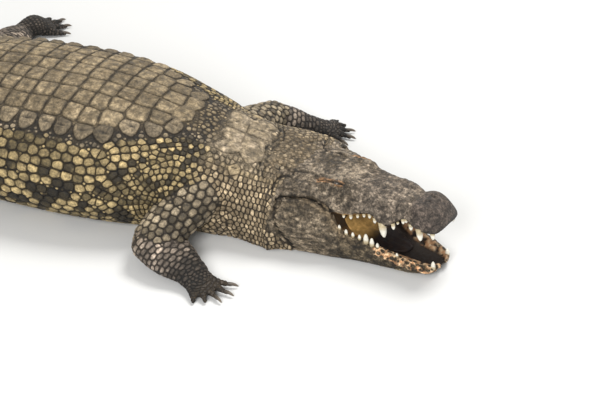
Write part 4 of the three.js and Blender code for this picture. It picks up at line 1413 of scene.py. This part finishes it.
def colours_of(rows, kind, points, share_ring, x, y):
    """Each scale point's colour, from its scale's own luck and its place on the scale, with painted shade
    darkening it towards its rim.
    """
    shape = points.shape[:2]
    flat = points.reshape(-1, 3)

    def each(values):
        return np.repeat(list(values), shape[1])

    luck = each(row["luck"] for row in rows)
    region = rows[0]["region"]
    extras = [each(values) for values in zip(*(row["extra"] for row in rows))]
    if region == "body":
        colours = body_colours(flat, *extras, luck)
    elif region == "leg":
        colours = limb_colours(flat, luck, extras[1], extras[1] >= 2)
    else:
        along, aside, up, upper = extras
        colours = head_colours(flat, along, aside, up, upper.astype(bool), luck)
    # Painted shade in the grooves between scales: each scale darkens towards its rim, most of all at the rim
    # itself.
    rim = step(1.0, 0.80, share_ring)
    painted_shade_and_rays = 0.78 + 0.22 * step(0.95, 0.4, share_ring)
    if kind in LARGE:
        rays = 0.5 + 0.5 * np.sin(np.arctan2(y, x) * 17 + 9 * luck.reshape(shape))
        painted_shade_and_rays = 0.84 + 0.16 * step(0.98, 0.75, share_ring)
        painted_shade_and_rays = painted_shade_and_rays * (0.90 + 0.13 * rays * step(0.2, 0.7, share_ring))
        # Painted shadow: a dark line along the slit beside the ridge.
        dark, at, half_long = SLIT_SHADOWS[kind]
        line = bump(y, at, 0.09) * (1 - step(half_long * 0.6, half_long, np.abs(x + 0.1)))
        painted_shade_and_rays = painted_shade_and_rays * (1 - dark * line)
    # How dark the painted shade at the very rim is. On plates and tail scales it is darkest in the furrows
    # between rows and lighter between columns.
    darkest = {"hide": 0.74, "nape": 0.55}.get(kind, 0.10)
    if kind in ("plate", "tail"):
        darkest = mix(0.6, 0.08, np.abs(x) / (np.abs(x) + np.abs(y) + 1e-3))
    shade = (darkest + (1 - darkest) * rim) * painted_shade_and_rays
    mottle = 1 + 0.26 * noise(flat, 7, 21) + 0.16 * noise(flat, 22, 22)
    return colours * (shade.reshape(-1) * mottle)[:, None]


PATCH_HALF = 0.0013               # half of a scale's patch on the bake map
LOWEST_SCALE = 0.6                # scales and claws stay this far off the floor


def scale_mesh(name, kind, rows, data, near, tree, numbers):
    """One mesh of all the scales of a kind in a region."""
    corners, ring_sizes, ring_heights, shape = KINDS[kind]
    numbers = np.array(numbers)
    angles, radius = outlines(numbers, data, near[numbers], corners, shape)
    kept = radius.min(1) > SMALLEST_SHARE
    numbers, radius = numbers[kept], radius[kept]
    rows = [row for row, keep in zip(rows, kept) if keep]
    if not rows:
        return None
    long, wide, height, luck = (data[key][numbers][:, None] for key in ("long", "wide", "height", "luck"))
    ahead, across, normal, middle = (
        data[key][numbers][:, None] for key in ("ahead", "across", "normal", "point"))
    x_rim, y_rim = np.cos(angles) * radius, np.sin(angles) * radius
    flat_rim = middle + ahead * (x_rim * long)[..., None] + across * (y_rim * wide)[..., None]
    rim = np.array([tree.find_nearest(Vector(point))[0] for point in flat_rim.reshape(-1, 3)])
    rim = rim.reshape(flat_rim.shape)
    layers = []
    for size, lift in (*zip(ring_sizes, ring_heights), (0.0, ring_heights[-1])):
        x, y = x_rim * size, y_rim * size
        base = mix(middle, rim, size)
        rise = height * lift + (keel_lift(kind, x, y, height, luck) if lift > 0 else 0)
        if kind in LARGE and 0 < size < 0.95:
            rough = base + normal * 50
            rise = rise + 1.1 * noise(rough, 13, 23) + 0.8 * noise(rough, 6, 24)
        parts = (base + normal * rise[..., None], np.full(x.shape, size), x, y)
        layers.append([part if size else part[:, :1] for part in parts])
    points, share_ring, x, y = (np.concatenate(parts, axis=1) for parts in zip(*layers))
    points[..., 2] = np.maximum(points[..., 2], LOWEST_SCALE)
    each = points.shape[1]
    grid = np.arange(each - 1).reshape(-1, corners)
    following = np.roll(grid, -1, axis=1)
    quads = np.stack([grid[:-1], following[:-1], following[1:], grid[1:]], -1).reshape(-1, 4)
    tris = np.stack([grid[-1], following[-1], np.full(corners, each - 1)], -1)
    starts = (np.arange(len(rows)) * each)[:, None, None]
    faces = [(quads + starts).reshape(-1, 4), (tris + starts).reshape(-1, 3)]
    mesh = fill_mesh(name, points.reshape(-1, 3), faces)
    set_tint(mesh, np.clip(colours_of(rows, kind, points, share_ring, x, y), 0.004, 0.9))
    patch = data["chart"][numbers][:, None] + np.stack([x, y], -1) * PATCH_HALF
    set_patches(mesh, patch.reshape(-1, 2))
    return mesh


def set_patches(mesh, places):
    """The map the coat is baked by: each scale is a small patch at its root's place on the skin's unwrap."""
    layer = mesh.uv_layers.new(name="OFBake")
    layer.data.foreach_set("uv", places[faces_of(mesh)[0]].astype(np.float32).ravel())


# ------------------------------------------------------------------ growing the coat
def kd_tree(points):
    tree = KDTree(len(points))
    for i, point in enumerate(points):
        tree.insert(point, i)
    tree.balance()
    return tree


def regions_of(points):
    """Each skin point's region, place for its colours, and place on the coat's unwrap."""
    samples = [(s, t) for s in np.arange(TAIL_TIP, HEAD_START + 20, 14.0)
               for t in np.arange(-girth(s), girth(s) + 1, 14.0)]
    charts = kd_tree([body_point(s, t) for s, t in samples])
    legs = []
    for leg in LEGS:
        lines = [part["line"] for part in leg["lengths"]]
        stages = [min(stage, 3) + k / len(line) for stage, line in enumerate(lines) for k in range(len(line))]
        legs.append((kd_tree([place for line in lines for place in line]), stages))
    result = []
    for point, forward, gap, along, aside, up, upper in zip(
            points, head_sizes(points)[0], distances(body_tree, points, 30.0), *head_places(points)):
        if forward > -40 and not (gap < 4 and forward < -6):
            result.append(("head", (along, aside, up, bool(upper)), head_chart(along, aside, up, upper)))
        elif gap < 7:
            s, t = samples[charts.find(Vector(point))[1]]
            result.append(("body", (s, t), body_chart(s, t)))
        else:
            found = [(tree.find(Vector(point)), stages, number) for number, (tree, stages) in enumerate(legs)]
            (_, index, _), stages, number = min(found, key=lambda item: item[0][2])
            spread = 0.5 + 0.5 * math.sin(point[0] / 40 + point[1] / 60)
            result.append(("leg", (number, stages[index]), leg_chart(number, stages[index], spread)))
    return result


def head_chart(along, aside, up, upper):
    """The head's place on the coat's unwrap: its two jaws laid side by side."""
    turn = math.atan2(up - (110 if upper else 60), aside) / math.pi
    return 0.01 + 0.44 * (along + 80) / 640 + (0.0 if upper else 0.5), 0.515 + 0.022 * turn


HEAD_CELLS = 6.4                  # the half size of the head's scales


def grow_head(seeds, points, normals, places):
    """Small flat scales over the head's outer side, longer on the cheeks and finer round the eyes and nose."""
    near_eye, near_crease, near_furrow = (
        np.min([line_gap(points, seeds.tree, side, name)[0] for side in (-1, 1) for name in names], axis=0)
        for names in (("eye",), ("crease",), ("ear", "fold")))
    for i in RNG.permutation(len(points)):
        region, extra, chart = places[i]
        if region != "head":
            continue
        along, aside, up, upper = extra
        wide = abs(aside)
        if near_eye[i] < 9.5 or near_crease[i] < 7 or near_furrow[i] < 5.5:
            continue
        if along > 446 if upper else wide > 90 and behind_fold(along, up):
            continue
        if in_mouth(*(np.array([value]) for value in (along, wide, up, upper)), normals[i:i + 1])[0]:
            continue
        if points[i][2] < 5 and normals[i][2] < -0.4:
            continue
        nose = step(440, 480, along) * upper
        radius = HEAD_CELLS - 1.6 * step(30, 8, near_eye[i]) - 1.2 * nose
        cheek = not upper and along < 200 and wide > 95
        if seeds.clashes(points[i], normals[i], radius * 0.9, 0.98):
            continue
        ahead = JAW_FORWARD * math.cos(0.2) + UP * (math.sin(0.2) if upper else -0.12)
        height = float(0.55 + 0.5 * RNG.random() - 0.25 * nose)
        long = radius * (2.3 if cheek else 1.25)
        seeds.add(points[i], ahead, long, radius, height, "hide", "head", chart, extra)


# ------------------------------------------------------------------ materials
class Look:
    """A material's nodes, added one by one."""

    def __init__(self, name, roughness, specular=0.4):
        self.material = bpy.data.materials.new(name)
        self.material.use_nodes = True
        self.nodes, self.links = self.material.node_tree.nodes, self.material.node_tree.links
        self.shader = self.nodes["Principled BSDF"]
        self.shader.inputs["Roughness"].default_value = roughness
        self.shader.inputs["Specular IOR Level"].default_value = specular
        self.places = self.nodes.new("ShaderNodeTexCoord").outputs["Object"]

    def texture(self, kind, scale, stretch=None, output="Fac", **inputs):
        node = self.nodes.new("ShaderNodeTex" + kind)
        node.inputs["Scale"].default_value = scale
        for name, value in inputs.items():
            node.inputs[name].default_value = value
        place = self.places
        if stretch:
            mapping = self.nodes.new("ShaderNodeMapping")
            mapping.inputs["Scale"].default_value = stretch
            self.links.new(place, mapping.inputs["Vector"])
            place = mapping.outputs["Vector"]
        self.links.new(place, node.inputs["Vector"])
        return node.outputs[output]

    def curve(self, source, low, high, new_low, new_high):
        node = self.nodes.new("ShaderNodeMapRange")
        for name, value in (("From Min", low), ("From Max", high), ("To Min", new_low), ("To Max", new_high)):
            node.inputs[name].default_value = value
        self.links.new(source, node.inputs["Value"])
        return node.outputs["Result"]

    def maths(self, operation, first, second):
        node = self.nodes.new("ShaderNodeMath")
        node.operation = operation
        for value, socket in ((first, node.inputs[0]), (second, node.inputs[1])):
            if isinstance(value, (int, float)):
                socket.default_value = value
            else:
                self.links.new(value, socket)
        return node.outputs[0]

    def paint(self, amount):
        """Colours the material with the mesh's tint times a grey amount."""
        tint = self.nodes.new("ShaderNodeAttribute")
        tint.attribute_name = "tint"
        scaled = self.nodes.new("ShaderNodeVectorMath")
        scaled.operation = "SCALE"
        self.links.new(tint.outputs["Color"], scaled.inputs[0])
        self.links.new(amount, scaled.inputs["Scale"])
        self.to(scaled.outputs["Vector"], "Base Color")

    def bump(self, height, distance, strength):
        node = self.nodes.new("ShaderNodeBump")
        node.inputs["Strength"].default_value = strength
        node.inputs["Distance"].default_value = distance
        self.links.new(height, node.inputs["Height"])
        self.links.new(node.outputs["Normal"], self.shader.inputs["Normal"])

    def to(self, source, socket):
        self.links.new(source, self.shader.inputs[socket])


def hide_look(name, grain, pits, low_gloss, high_gloss, contrast):
    """Horny hide: the painted tint with fine mottling, wrinkles and pits."""
    look = Look(name, 0.6, 0.35)
    fine = look.texture("Noise", grain, Detail=5.0, Roughness=0.62)
    middle = look.texture("Noise", grain / 3.4, Detail=4.0, Roughness=0.6)
    broad = look.texture("Noise", grain / 9, Detail=3.0)
    dots = look.texture("Voronoi", pits, output="Distance")
    spread = 0.42 * contrast
    mottle = look.maths("MULTIPLY", look.curve(fine, 0.3, 0.7, 1 - spread, 1 + spread),
                        look.curve(broad, 0.37, 0.63, 1 - spread * 0.7, 1 + spread * 0.7))
    mottle = look.maths("MULTIPLY", mottle, look.curve(middle, 0.34, 0.66, 1 - spread, 1 + spread))
    pit = look.curve(dots, 0.08, 0.30, 0.62, 1.0)
    look.paint(look.maths("MULTIPLY", mottle, pit))
    look.to(look.curve(broad, 0.35, 0.65, low_gloss, high_gloss), "Roughness")
    rough = look.maths("ADD", look.maths("MULTIPLY", fine, 0.6), look.maths("MULTIPLY", pit, 0.35))
    look.bump(look.maths("ADD", rough, middle), 0.0030 * contrast, 0.9)
    return look.material


def mouth_look():
    look = Look("mouth", 0.5, 0.12)
    wet = look.texture("Noise", 90, Detail=4.0)
    folds = look.texture("Noise", 320, Detail=3.0)
    look.paint(look.curve(wet, 0.3, 0.7, 0.7, 1.25))
    look.to(look.curve(wet, 0.35, 0.65, 0.42, 0.7), "Roughness")
    look.bump(look.maths("ADD", wet, look.maths("MULTIPLY", folds, 0.4)), 0.002, 0.6)
    return look.material


def hard_look(name, grain, roughness, stretch, depth):
    """Teeth and claws: the painted tint with long fine grain."""
    look = Look(name, roughness, 0.5)
    lines = look.texture("Noise", grain, stretch, Detail=4.0)
    look.paint(look.curve(lines, 0.3, 0.7, 0.82, 1.12))
    look.to(look.curve(lines, 0.3, 0.7, roughness - 0.08, roughness + 0.12), "Roughness")
    look.bump(lines, depth, 0.5)
    return look.material


def eye_look():
    look = Look("eye", 0.06, 0.6)
    look.paint(look.curve(look.texture("Noise", 900, Detail=4.0), 0.3, 0.7, 0.75, 1.25))
    look.shader.inputs["Coat Weight"].default_value = 0.5
    look.shader.inputs["Coat Roughness"].default_value = 0.08
    return look.material


# ------------------------------------------------------------------ colouring the skin
# The head's dark lines, painted shade along its furrows, slits and nostrils, as (line, half width, how dark).
DARK_LINES = (("ear", 4.2, 0.92), ("crease", 8.5, 0.98), ("fold", 6.5, 0.92), ("nostril", 3.0, 0.6),
              ("eye", 3.0, 0.97))


def tint_skin(mesh, places):
    """Colours the skin by its places, and returns which of its points are in the mouth."""
    points, normals = points_of(mesh), normals_of(mesh)
    luck = 0.5 + 0.5 * noise(points, 9, 31)
    regions = np.array([place[0] for place in places])
    head, body, leg = (regions == name for name in ("head", "body", "leg"))

    def each(region, k):
        return np.array([float(place[1][k]) if place[0] == region else 0.0 for place in places])

    s, t, stage = each("body", 0), each("body", 1), each("leg", 1)
    on_back = step(-700, -600, s) * (1 - step(430, 470, s)) * (1 - step(-70, -30, np.abs(t) - shield_edge(s)))
    # Where the painted shade between the scales is weaker: fully on the nape, and partly on the back's shield.
    weaker_gap_shade = np.maximum(step(500, 540, s) * (1 - step(165, 200, np.abs(t))), 0.45 * on_back)[:, None]
    tree = tree_of(mesh)
    # Painted shade, nearly black, along the neck's double crease.
    crease_shade = np.ones((len(points), 1))
    for line in neck_creases(tree):
        gap, share = line_distance(points, line)
        crease_shade *= 1 - 0.92 * (bump(gap, 0, 5.0) * between(0, 0.1, 0.9, 1, share))[:, None]
    # Painted shade: the skin showing between the body's and the legs' scales is painted very dark.
    on_body = body_colours(points, s, t, luck) * mix(SHADE_BETWEEN_SCALES, 0.55, weaker_gap_shade) * crease_shade
    on_leg = limb_colours(points, luck, stage, stage >= 2) * SHADE_BETWEEN_SCALES
    along, aside, up = (each("head", k) for k in range(3))
    upper = each("head", 3) > 0
    on_head = head_colours(points, along, aside, up, upper, luck) * 0.72
    inside = in_mouth(along, np.abs(aside), up, upper, normals) & head
    jowl = head & ~upper & (up < 165) * step(fold_at(up) + 3, fold_at(up) - 5, along).astype(bool)
    neck = [np.full(len(points), value) for value in (NECK_LAST, 260.0)]
    on_head = np.where(jowl[:, None], body_colours(points, *neck, luck) * SHADE_BETWEEN_SCALES, on_head)
    flesh = blend(PALATE, MOUTH_FLOOR, step(232, 290, along)) * (0.75 + 0.5 * luck)[:, None]
    # Painted shade deep in the corner of the mouth.
    flesh = blend(flesh, GROOVE_SHADE, 0.9 * (1 - step(196, 236, along)))
    on_head = np.where(inside[:, None], flesh, on_head)
    knobs = gum_knobs(points, along, aside, up, upper) * head
    gum = blend(GUM, PALE_GUM, step(-0.2, 0.4, noise(points, 7, 34)))
    # Painted shade: the gum knobs on the left, far side take much less of the gum's colour than those on the
    # right.
    on_head = blend(on_head, gum, knobs * np.where(aside > 0, 0.35, 0.95))
    for side, (name, half, dark) in product((-1, 1), DARK_LINES):
        gap, share = head_lines[side, name]
        if name == "eye":
            half = 2.0 + 3.2 * between(0.40, 0.6, 0.80, 0.95, share)
            rims = head * upper * bump(gap, half + 3.2, 3.4) * (1 - step(0.93, 1.0, share))
            on_head = blend(on_head, EYE_RIM, 0.85 * rims)
        on_head = blend(on_head, GROOVE_SHADE * 0.5, dark * bump(gap, 0, half) * head)
    colours = np.select([part[:, None] for part in (head, body, leg)], [on_head, on_body, on_leg])
    set_tint(mesh, np.clip(colours, 0.003, 0.9))
    return inside


def assign_inside(mesh, inside):
    """Gives the faces inside the mouth the second material."""
    corners, starts = faces_of(mesh)
    share = np.add.reduceat(inside[corners].astype(float), starts) / np.diff(np.append(starts, len(corners)))
    mesh.polygons.foreach_set("material_index", (share > 0.5).astype(np.int32))


# ------------------------------------------------------------------ the tail's crest
def crest_blade(s, side, height):
    """One upright plate of the crest: long at its root, swept back, and thin at its edge."""
    back_edge, front_edge = s - CREST_PITCH * 0.50, s + CREST_PITCH * 0.47
    turn = turns(30, 0.5)
    rings = []
    for lift in np.linspace(0, 1, 9):
        rear = mix(back_edge, back_edge + CREST_PITCH * 0.10, lift)
        front = mix(front_edge, back_edge + CREST_PITCH * 0.30, lift ** 0.75)
        half = mix(CREST_HALF_THICKNESS + 2.5, 1.4, lift ** 0.8)
        round_off = max(math.sqrt(max(1 - lift ** 4, 0.0)), 0.25)
        along = mix(rear, front, 0.5 + 0.5 * np.cos(turn) * mix(1.0, round_off, lift))
        aside = np.sin(turn) * half * np.abs(np.sin(turn)) ** 0.3
        rings.append(np.stack([along, aside, np.full(len(turn), lift)], -1))
    along, aside, lift = np.moveaxis(np.array(rings), -1, 0)
    spread = crest_arc(s) * side
    place, _, left = spine_at(along)
    middle, _, left_here = spine_at(s)
    out = float((body_point(s, spread) - middle) @ left_here)
    points = place + left * (out + aside)[..., None]
    points = points + left * (0.10 * side * lift * height)[..., None]
    order = np.argsort(along[0])
    root = np.array([body_point(float(value), spread)[2] for value in along[0, order]])
    base = np.interp(along.ravel(), along[0, order], root).reshape(along.shape)
    points[..., 2] = base - CREST_SINK + lift * (height + CREST_SINK)
    return points, lift


def make_crest(material):
    solids, tints, charts = Solids(), [], []
    for s in crest_places():
        for side in ((-1, 1) if s > CREST_JOIN else (1,)):
            height = float(crest_height(s)) * (0.94 + 0.1 * RNG.random())
            rings, lift = crest_blade(s, side, height)
            rings = rings + (0, 0, 1) * (0.8 * noise(rings, 9, 41) * lift)[..., None]
            solids.loft(rings)
            flat = rings.reshape(-1, 3)
            values = (s, 40.0 * side, RNG.random())
            colours = body_colours(flat, *(np.full(len(flat), value) for value in values))
            # Painted shade: each blade is darker at its root and lighter towards its edge, with fine bands one
            # above another.
            shade = 0.55 + 0.35 * lift.ravel() + 0.14 * np.sin(flat[:, 2] / 2.1 + 2 * noise(flat, 15, 42))
            tints += [colours * shade[:, None], colours[[0, -1]] * 0.8]
            place = np.array(body_chart(s, 40.0 * side))
            across = np.broadcast_to(np.linspace(-1, 1, lift.shape[1]), lift.shape)
            patch = place + np.stack([lift - 0.5, across], -1) * PATCH_HALF
            charts += [patch.reshape(-1, 2), [place, place]]
    mesh = solids.mesh("coat_crest")
    set_patches(mesh, np.vstack(charts))
    return coloured(mesh, np.clip(np.vstack(tints), 0.004, 0.9), material)


# ------------------------------------------------------------------ teeth, eyes, tongue and claws
# Each side's teeth, as (place along the jaw, length out of the gum). Some of the lower ones are lost.
UPPER_TEETH = [(224, 9), (247, 12), (270, 10), (292, 10), (312, 12), (328, 14), (353, 38), (393, 16), (407, 7),
               (422, 14), (432, 11), (447, 17), (481, 32), (521, 22)]
LOWER_TEETH = [(210, 11), (232, 13), (254, 12), (276, 13), (297, 26), (317, 22), (336, 14), (403, 9), (518, 19)]


def tooth_rings(along, aside, edge, length, raised):
    """A stout cone that curves in a little, rooted in a swollen gum."""
    direction = -1 if raised else 1
    radius = 2.8 + length * 0.26
    turn = turns(14)
    rings, tints = [], []
    for lift in (-0.45, -0.1, 0.1, 0.3, 0.5, 0.68, 0.84, 0.94, 0.99):
        size = radius * (1.0 if lift < 0.1 else math.sqrt(max(1 - ((lift - 0.05) / 0.96) ** 1.7, 0.004)))
        out = max(lift, 0)
        lean = math.copysign(1, aside) * (2.2 * out - 2.6 * out ** 2)
        rings.append(head_point(along + np.cos(turn) * size - 1.5 * out ** 2,
                                aside + lean + np.sin(turn) * size * 0.86,
                                edge + direction * (lift * length), raised))
        tints.append(np.tile(mix(TOOTH, TOOTH_STAIN, step(0.35, -0.05, lift)), (14, 1)))
    return np.array(rings), np.vstack(tints)


def make_teeth(material):
    solids, tints = Solids(), []
    for teeth, aside_at, edge_at, raised in (
            (UPPER_TEETH, lambda a: upper_half_width(a) * (0.76 if a > 500 else 0.93), tooth_line, True),
            (LOWER_TEETH, lambda a: lower_half_width(a) * lip_share(a), lower_top, False)):
        for (along, length), side in product(teeth, (-1, 1)):
            rings, colours = tooth_rings(along, side * float(aside_at(along)), float(edge_at(along)),
                                         length * (0.94 + 0.1 * RNG.random()), raised)
            solids.loft(rings)
            tints += [colours, colours[[0, -1]]]
    return coloured(solids.mesh("teeth"), np.vstack(tints), material)


def make_eye(name, side, material):
    """An eyeball with a swollen cornea, a golden iris and an upright slit of a pupil; its ball and iris are
    painted nearly black, as painted shade in the narrow gap between the lids.
    """
    outward = unit(JAW_LEFT * side + UP * 0.25 + JAW_FORWARD * 0.12)
    sideways = unit(np.cross(UP, outward))
    upright = np.cross(outward, sideways)
    polar, turn = np.linspace(0.01, math.pi - 0.01, 48)[:, None], turns(48)
    x, y, z = np.sin(polar) * np.cos(turn), np.sin(polar) * np.sin(turn), np.cos(polar) * np.ones(48)
    size = (EYE_RADIUS - 0.3) * (1 + 0.05 * bump(polar, 0, 0.55))[..., None]
    way = sideways * x[..., None] + upright * y[..., None] + outward * z[..., None]
    rings = eye_centre(side) + way * size
    iris = 1 - step(0.62, 0.70, polar) * np.ones(48)
    pupil = 1 - step(0.55, 1.15, (x / 0.13) ** 2 + (y / 0.52) ** 2)
    # Painted shade: the ball and the iris are painted nearly black.
    colours = blend(blend(SHADED_EYEBALL, SHADED_IRIS, iris), PUPIL, pupil * (z > 0))
    solids = Solids()
    solids.loft(rings)
    colours = np.vstack([colours.reshape(-1, 3), colours[0, :1], colours[-1, :1]])
    return coloured(solids.mesh(name), colours, material)


def make_tongue(material):
    """The tongue lies low between the jaw's sides, with a groove along it and a swollen back."""
    stations, turn = np.linspace(190, 408, 44), turns(36)
    bed = lower_top(stations) - mouth_depth(stations)
    half = lower_half_width(stations) * 0.46 * np.sqrt(np.clip(1 - ((stations - 280) / 130) ** 4, 0.02, 1))
    thick = 9 + 5 * step(300, 210, stations)
    aside = np.cos(turn) * half[:, None]
    up = bed[:, None] + 2 + np.sin(turn) * thick[:, None]
    up -= 3.5 * bump(aside, 0, 7) * (np.sin(turn) > 0)
    rings = head_point(stations[:, None], aside, up, False)
    rings = rings + UP * (0.8 * noise(rings, 14, 51) + 0.5 * noise(rings, 6, 52))[..., None]
    colours = blend(TONGUE, TONGUE_FRONT, np.repeat(step(232, 300, stations), 36))
    colours = colours * (0.85 + 0.3 * noise(rings.reshape(-1, 3), 12, 53))[:, None]
    solids = Solids()
    solids.loft(rings)
    colours = np.clip(np.vstack([colours, colours[:1], colours[-1:]]), 0.01, 0.9)
    return coloured(solids.mesh("tongue_flesh"), colours, material)


def make_claws(leg, material):
    """The horny claws of one foot, curved down to the floor."""
    solids, tints = Solids(), []
    share = np.linspace(0, 1, 16)
    radius = 6.6 * np.sqrt(np.clip(1 - share ** 1.8, 0.01, 1))
    for toe in range(leg["kind"]["clawed"]):
        centres, direction = toe_line(leg, toe)
        root = centres[2] + (0, 0, 4)
        line = through([root + direction * ahead + (0, 0, up)
                        for ahead, up in ((-9, 0), (4, 1.0), (16, -1.5), (27, -6.5))], 16)
        _, across, lift = axes_along(line)
        rings = tube(line, across, lift, radius * 0.82, radius, turns(14))
        rings[..., 2] = np.maximum(rings[..., 2], LOWEST_SCALE)
        solids.loft(rings)
        colours = blend(CLAW_ROOT, CLAW_TIP, np.repeat(share, 14))
        tints += [colours, colours[:1], colours[-1:]]
    return coloured(solids.mesh("claws_" + leg["foot"]), np.vstack(tints), material)


# ------------------------------------------------------------------ putting it together
FLESH = ["head", "lower_jaw", "neck", "trunk", *(f"tail_{number}" for number in range(1, 6)),
         *(node for leg in LEGS for node in leg["nodes"])]
SLOTS = {"head": "head_hide", "leg": "limb_hide", "body": "back_hide"}
MOST_TRIANGLES = 185000           # a coat piece is split beyond this, so that it stays under the limit


def finish_piece(piece, slot, *nodes):
    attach(piece, "root")
    if nodes:
        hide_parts(*nodes)


def piece_groups(rows):
    """Splits the scales into pieces by kind, part of the body and size of the mesh."""
    groups = {}
    for number, row in enumerate(rows):
        groups.setdefault((row["region"], row["kind"]), []).append(number)
    for (region, kind), numbers in groups.items():
        corners, sizes, *_ = KINDS[kind]
        most = int(MOST_TRIANGLES / (corners * (2 * len(sizes) - 1)))
        for part, start in enumerate(range(0, len(numbers), most)):
            yield region, kind, part, numbers[start:start + most]


def dress():
    body_hide = hide_look("body_hide", 420, 260, 0.50, 0.72, 1.0)
    head_hide = hide_look("head_hide", 520, 330, 0.44, 0.68, 1.55)
    mouth = mouth_look()
    enamel = hard_look("enamel", 260, 0.26, (1, 1, 0.25), 0.0006)
    horn = hard_look("horn", 500, 0.38, None, 0.0008)
    eye = eye_look()
    skin = finished_skin()
    mesh = skin.data
    points, normals = points_of(mesh), normals_of(mesh)
    places = regions_of(points)
    inside = tint_skin(mesh, places)
    mesh.materials.append(head_hide)
    mesh.materials.append(mouth)
    assign_inside(mesh, inside)
    finish_piece(skin, "back_hide", *FLESH)
    tree = tree_of(mesh)
    seeds = Seeds(tree)
    grow_back(seeds)
    grow_tail(seeds)
    grow_shoulders(seeds)
    grow_flanks(seeds)
    grow_jowls(seeds)
    grow_legs(seeds)
    grow_between(seeds, *scatter(mesh, points, normals, places, GRAIN_SPOTS))
    grow_head(seeds, *scatter(mesh, points, normals, places, HEAD_SPOTS, "head"))
    rows = seeds.rows
    data = arrays_of(rows)
    near = neighbours_of(data["point"])
    for region, kind, part, numbers in piece_groups(rows):
        chosen = [rows[number] for number in numbers]
        piece_mesh = scale_mesh(f"coat_{region}_{kind}_{part + 1}", kind, chosen, data, near, tree, numbers)
        if piece_mesh is None:
            continue
        piece_mesh.materials.append(head_hide if region == "head" else body_hide)
        finish_piece(link(piece_mesh), SLOTS[region])
    finish_piece(make_crest(body_hide), "back_hide")
    finish_piece(make_teeth(enamel), "teeth")
    finish_piece(make_tongue(mouth), "mouth", "tongue")
    for name, side in (("eye_right", -1), ("eye_left", 1)):
        finish_piece(make_eye(name + "_ball", side, eye), "eye", name)
    for leg in LEGS:
        nodes = [f"claw_{leg['foot']}_{toe + 1}" for toe in range(leg["kind"]["clawed"])]
        finish_piece(make_claws(leg, horn), "claw", *nodes)


def scatter(mesh, points, normals, places, count, region=None):
    """Random points all over the skin, with their nearest vertex's place."""
    corners, starts = faces_of(mesh)
    first, second, third = corners[starts], corners[starts + 1], corners[starts + 2]
    areas = np.linalg.norm(np.cross(points[second] - points[first], points[third] - points[first]), axis=1)
    if region:
        areas = areas * np.array([place[0] == region for place in places])[first]
    picked = RNG.choice(len(areas), count, p=areas / areas.sum())
    a, b = RNG.random((2, count))
    flip = a + b > 1
    a, b = np.where(flip, 1 - a, a), np.where(flip, 1 - b, b)
    spots = (points[first[picked]] * (1 - a - b)[:, None] + points[second[picked]] * a[:, None]
             + points[third[picked]] * b[:, None])
    facing = unit(normals[first[picked]] + normals[second[picked]] + normals[third[picked]])
    return spots, facing, [places[i] for i in first[picked]]


def neighbours_of(points):
    tree = kd_tree(points)
    found = (tree.find_n(Vector(point), NEIGHBOURS + 1) for point in points)
    return np.array([[index for _, index, _ in near][1:] for near in found])


dress()
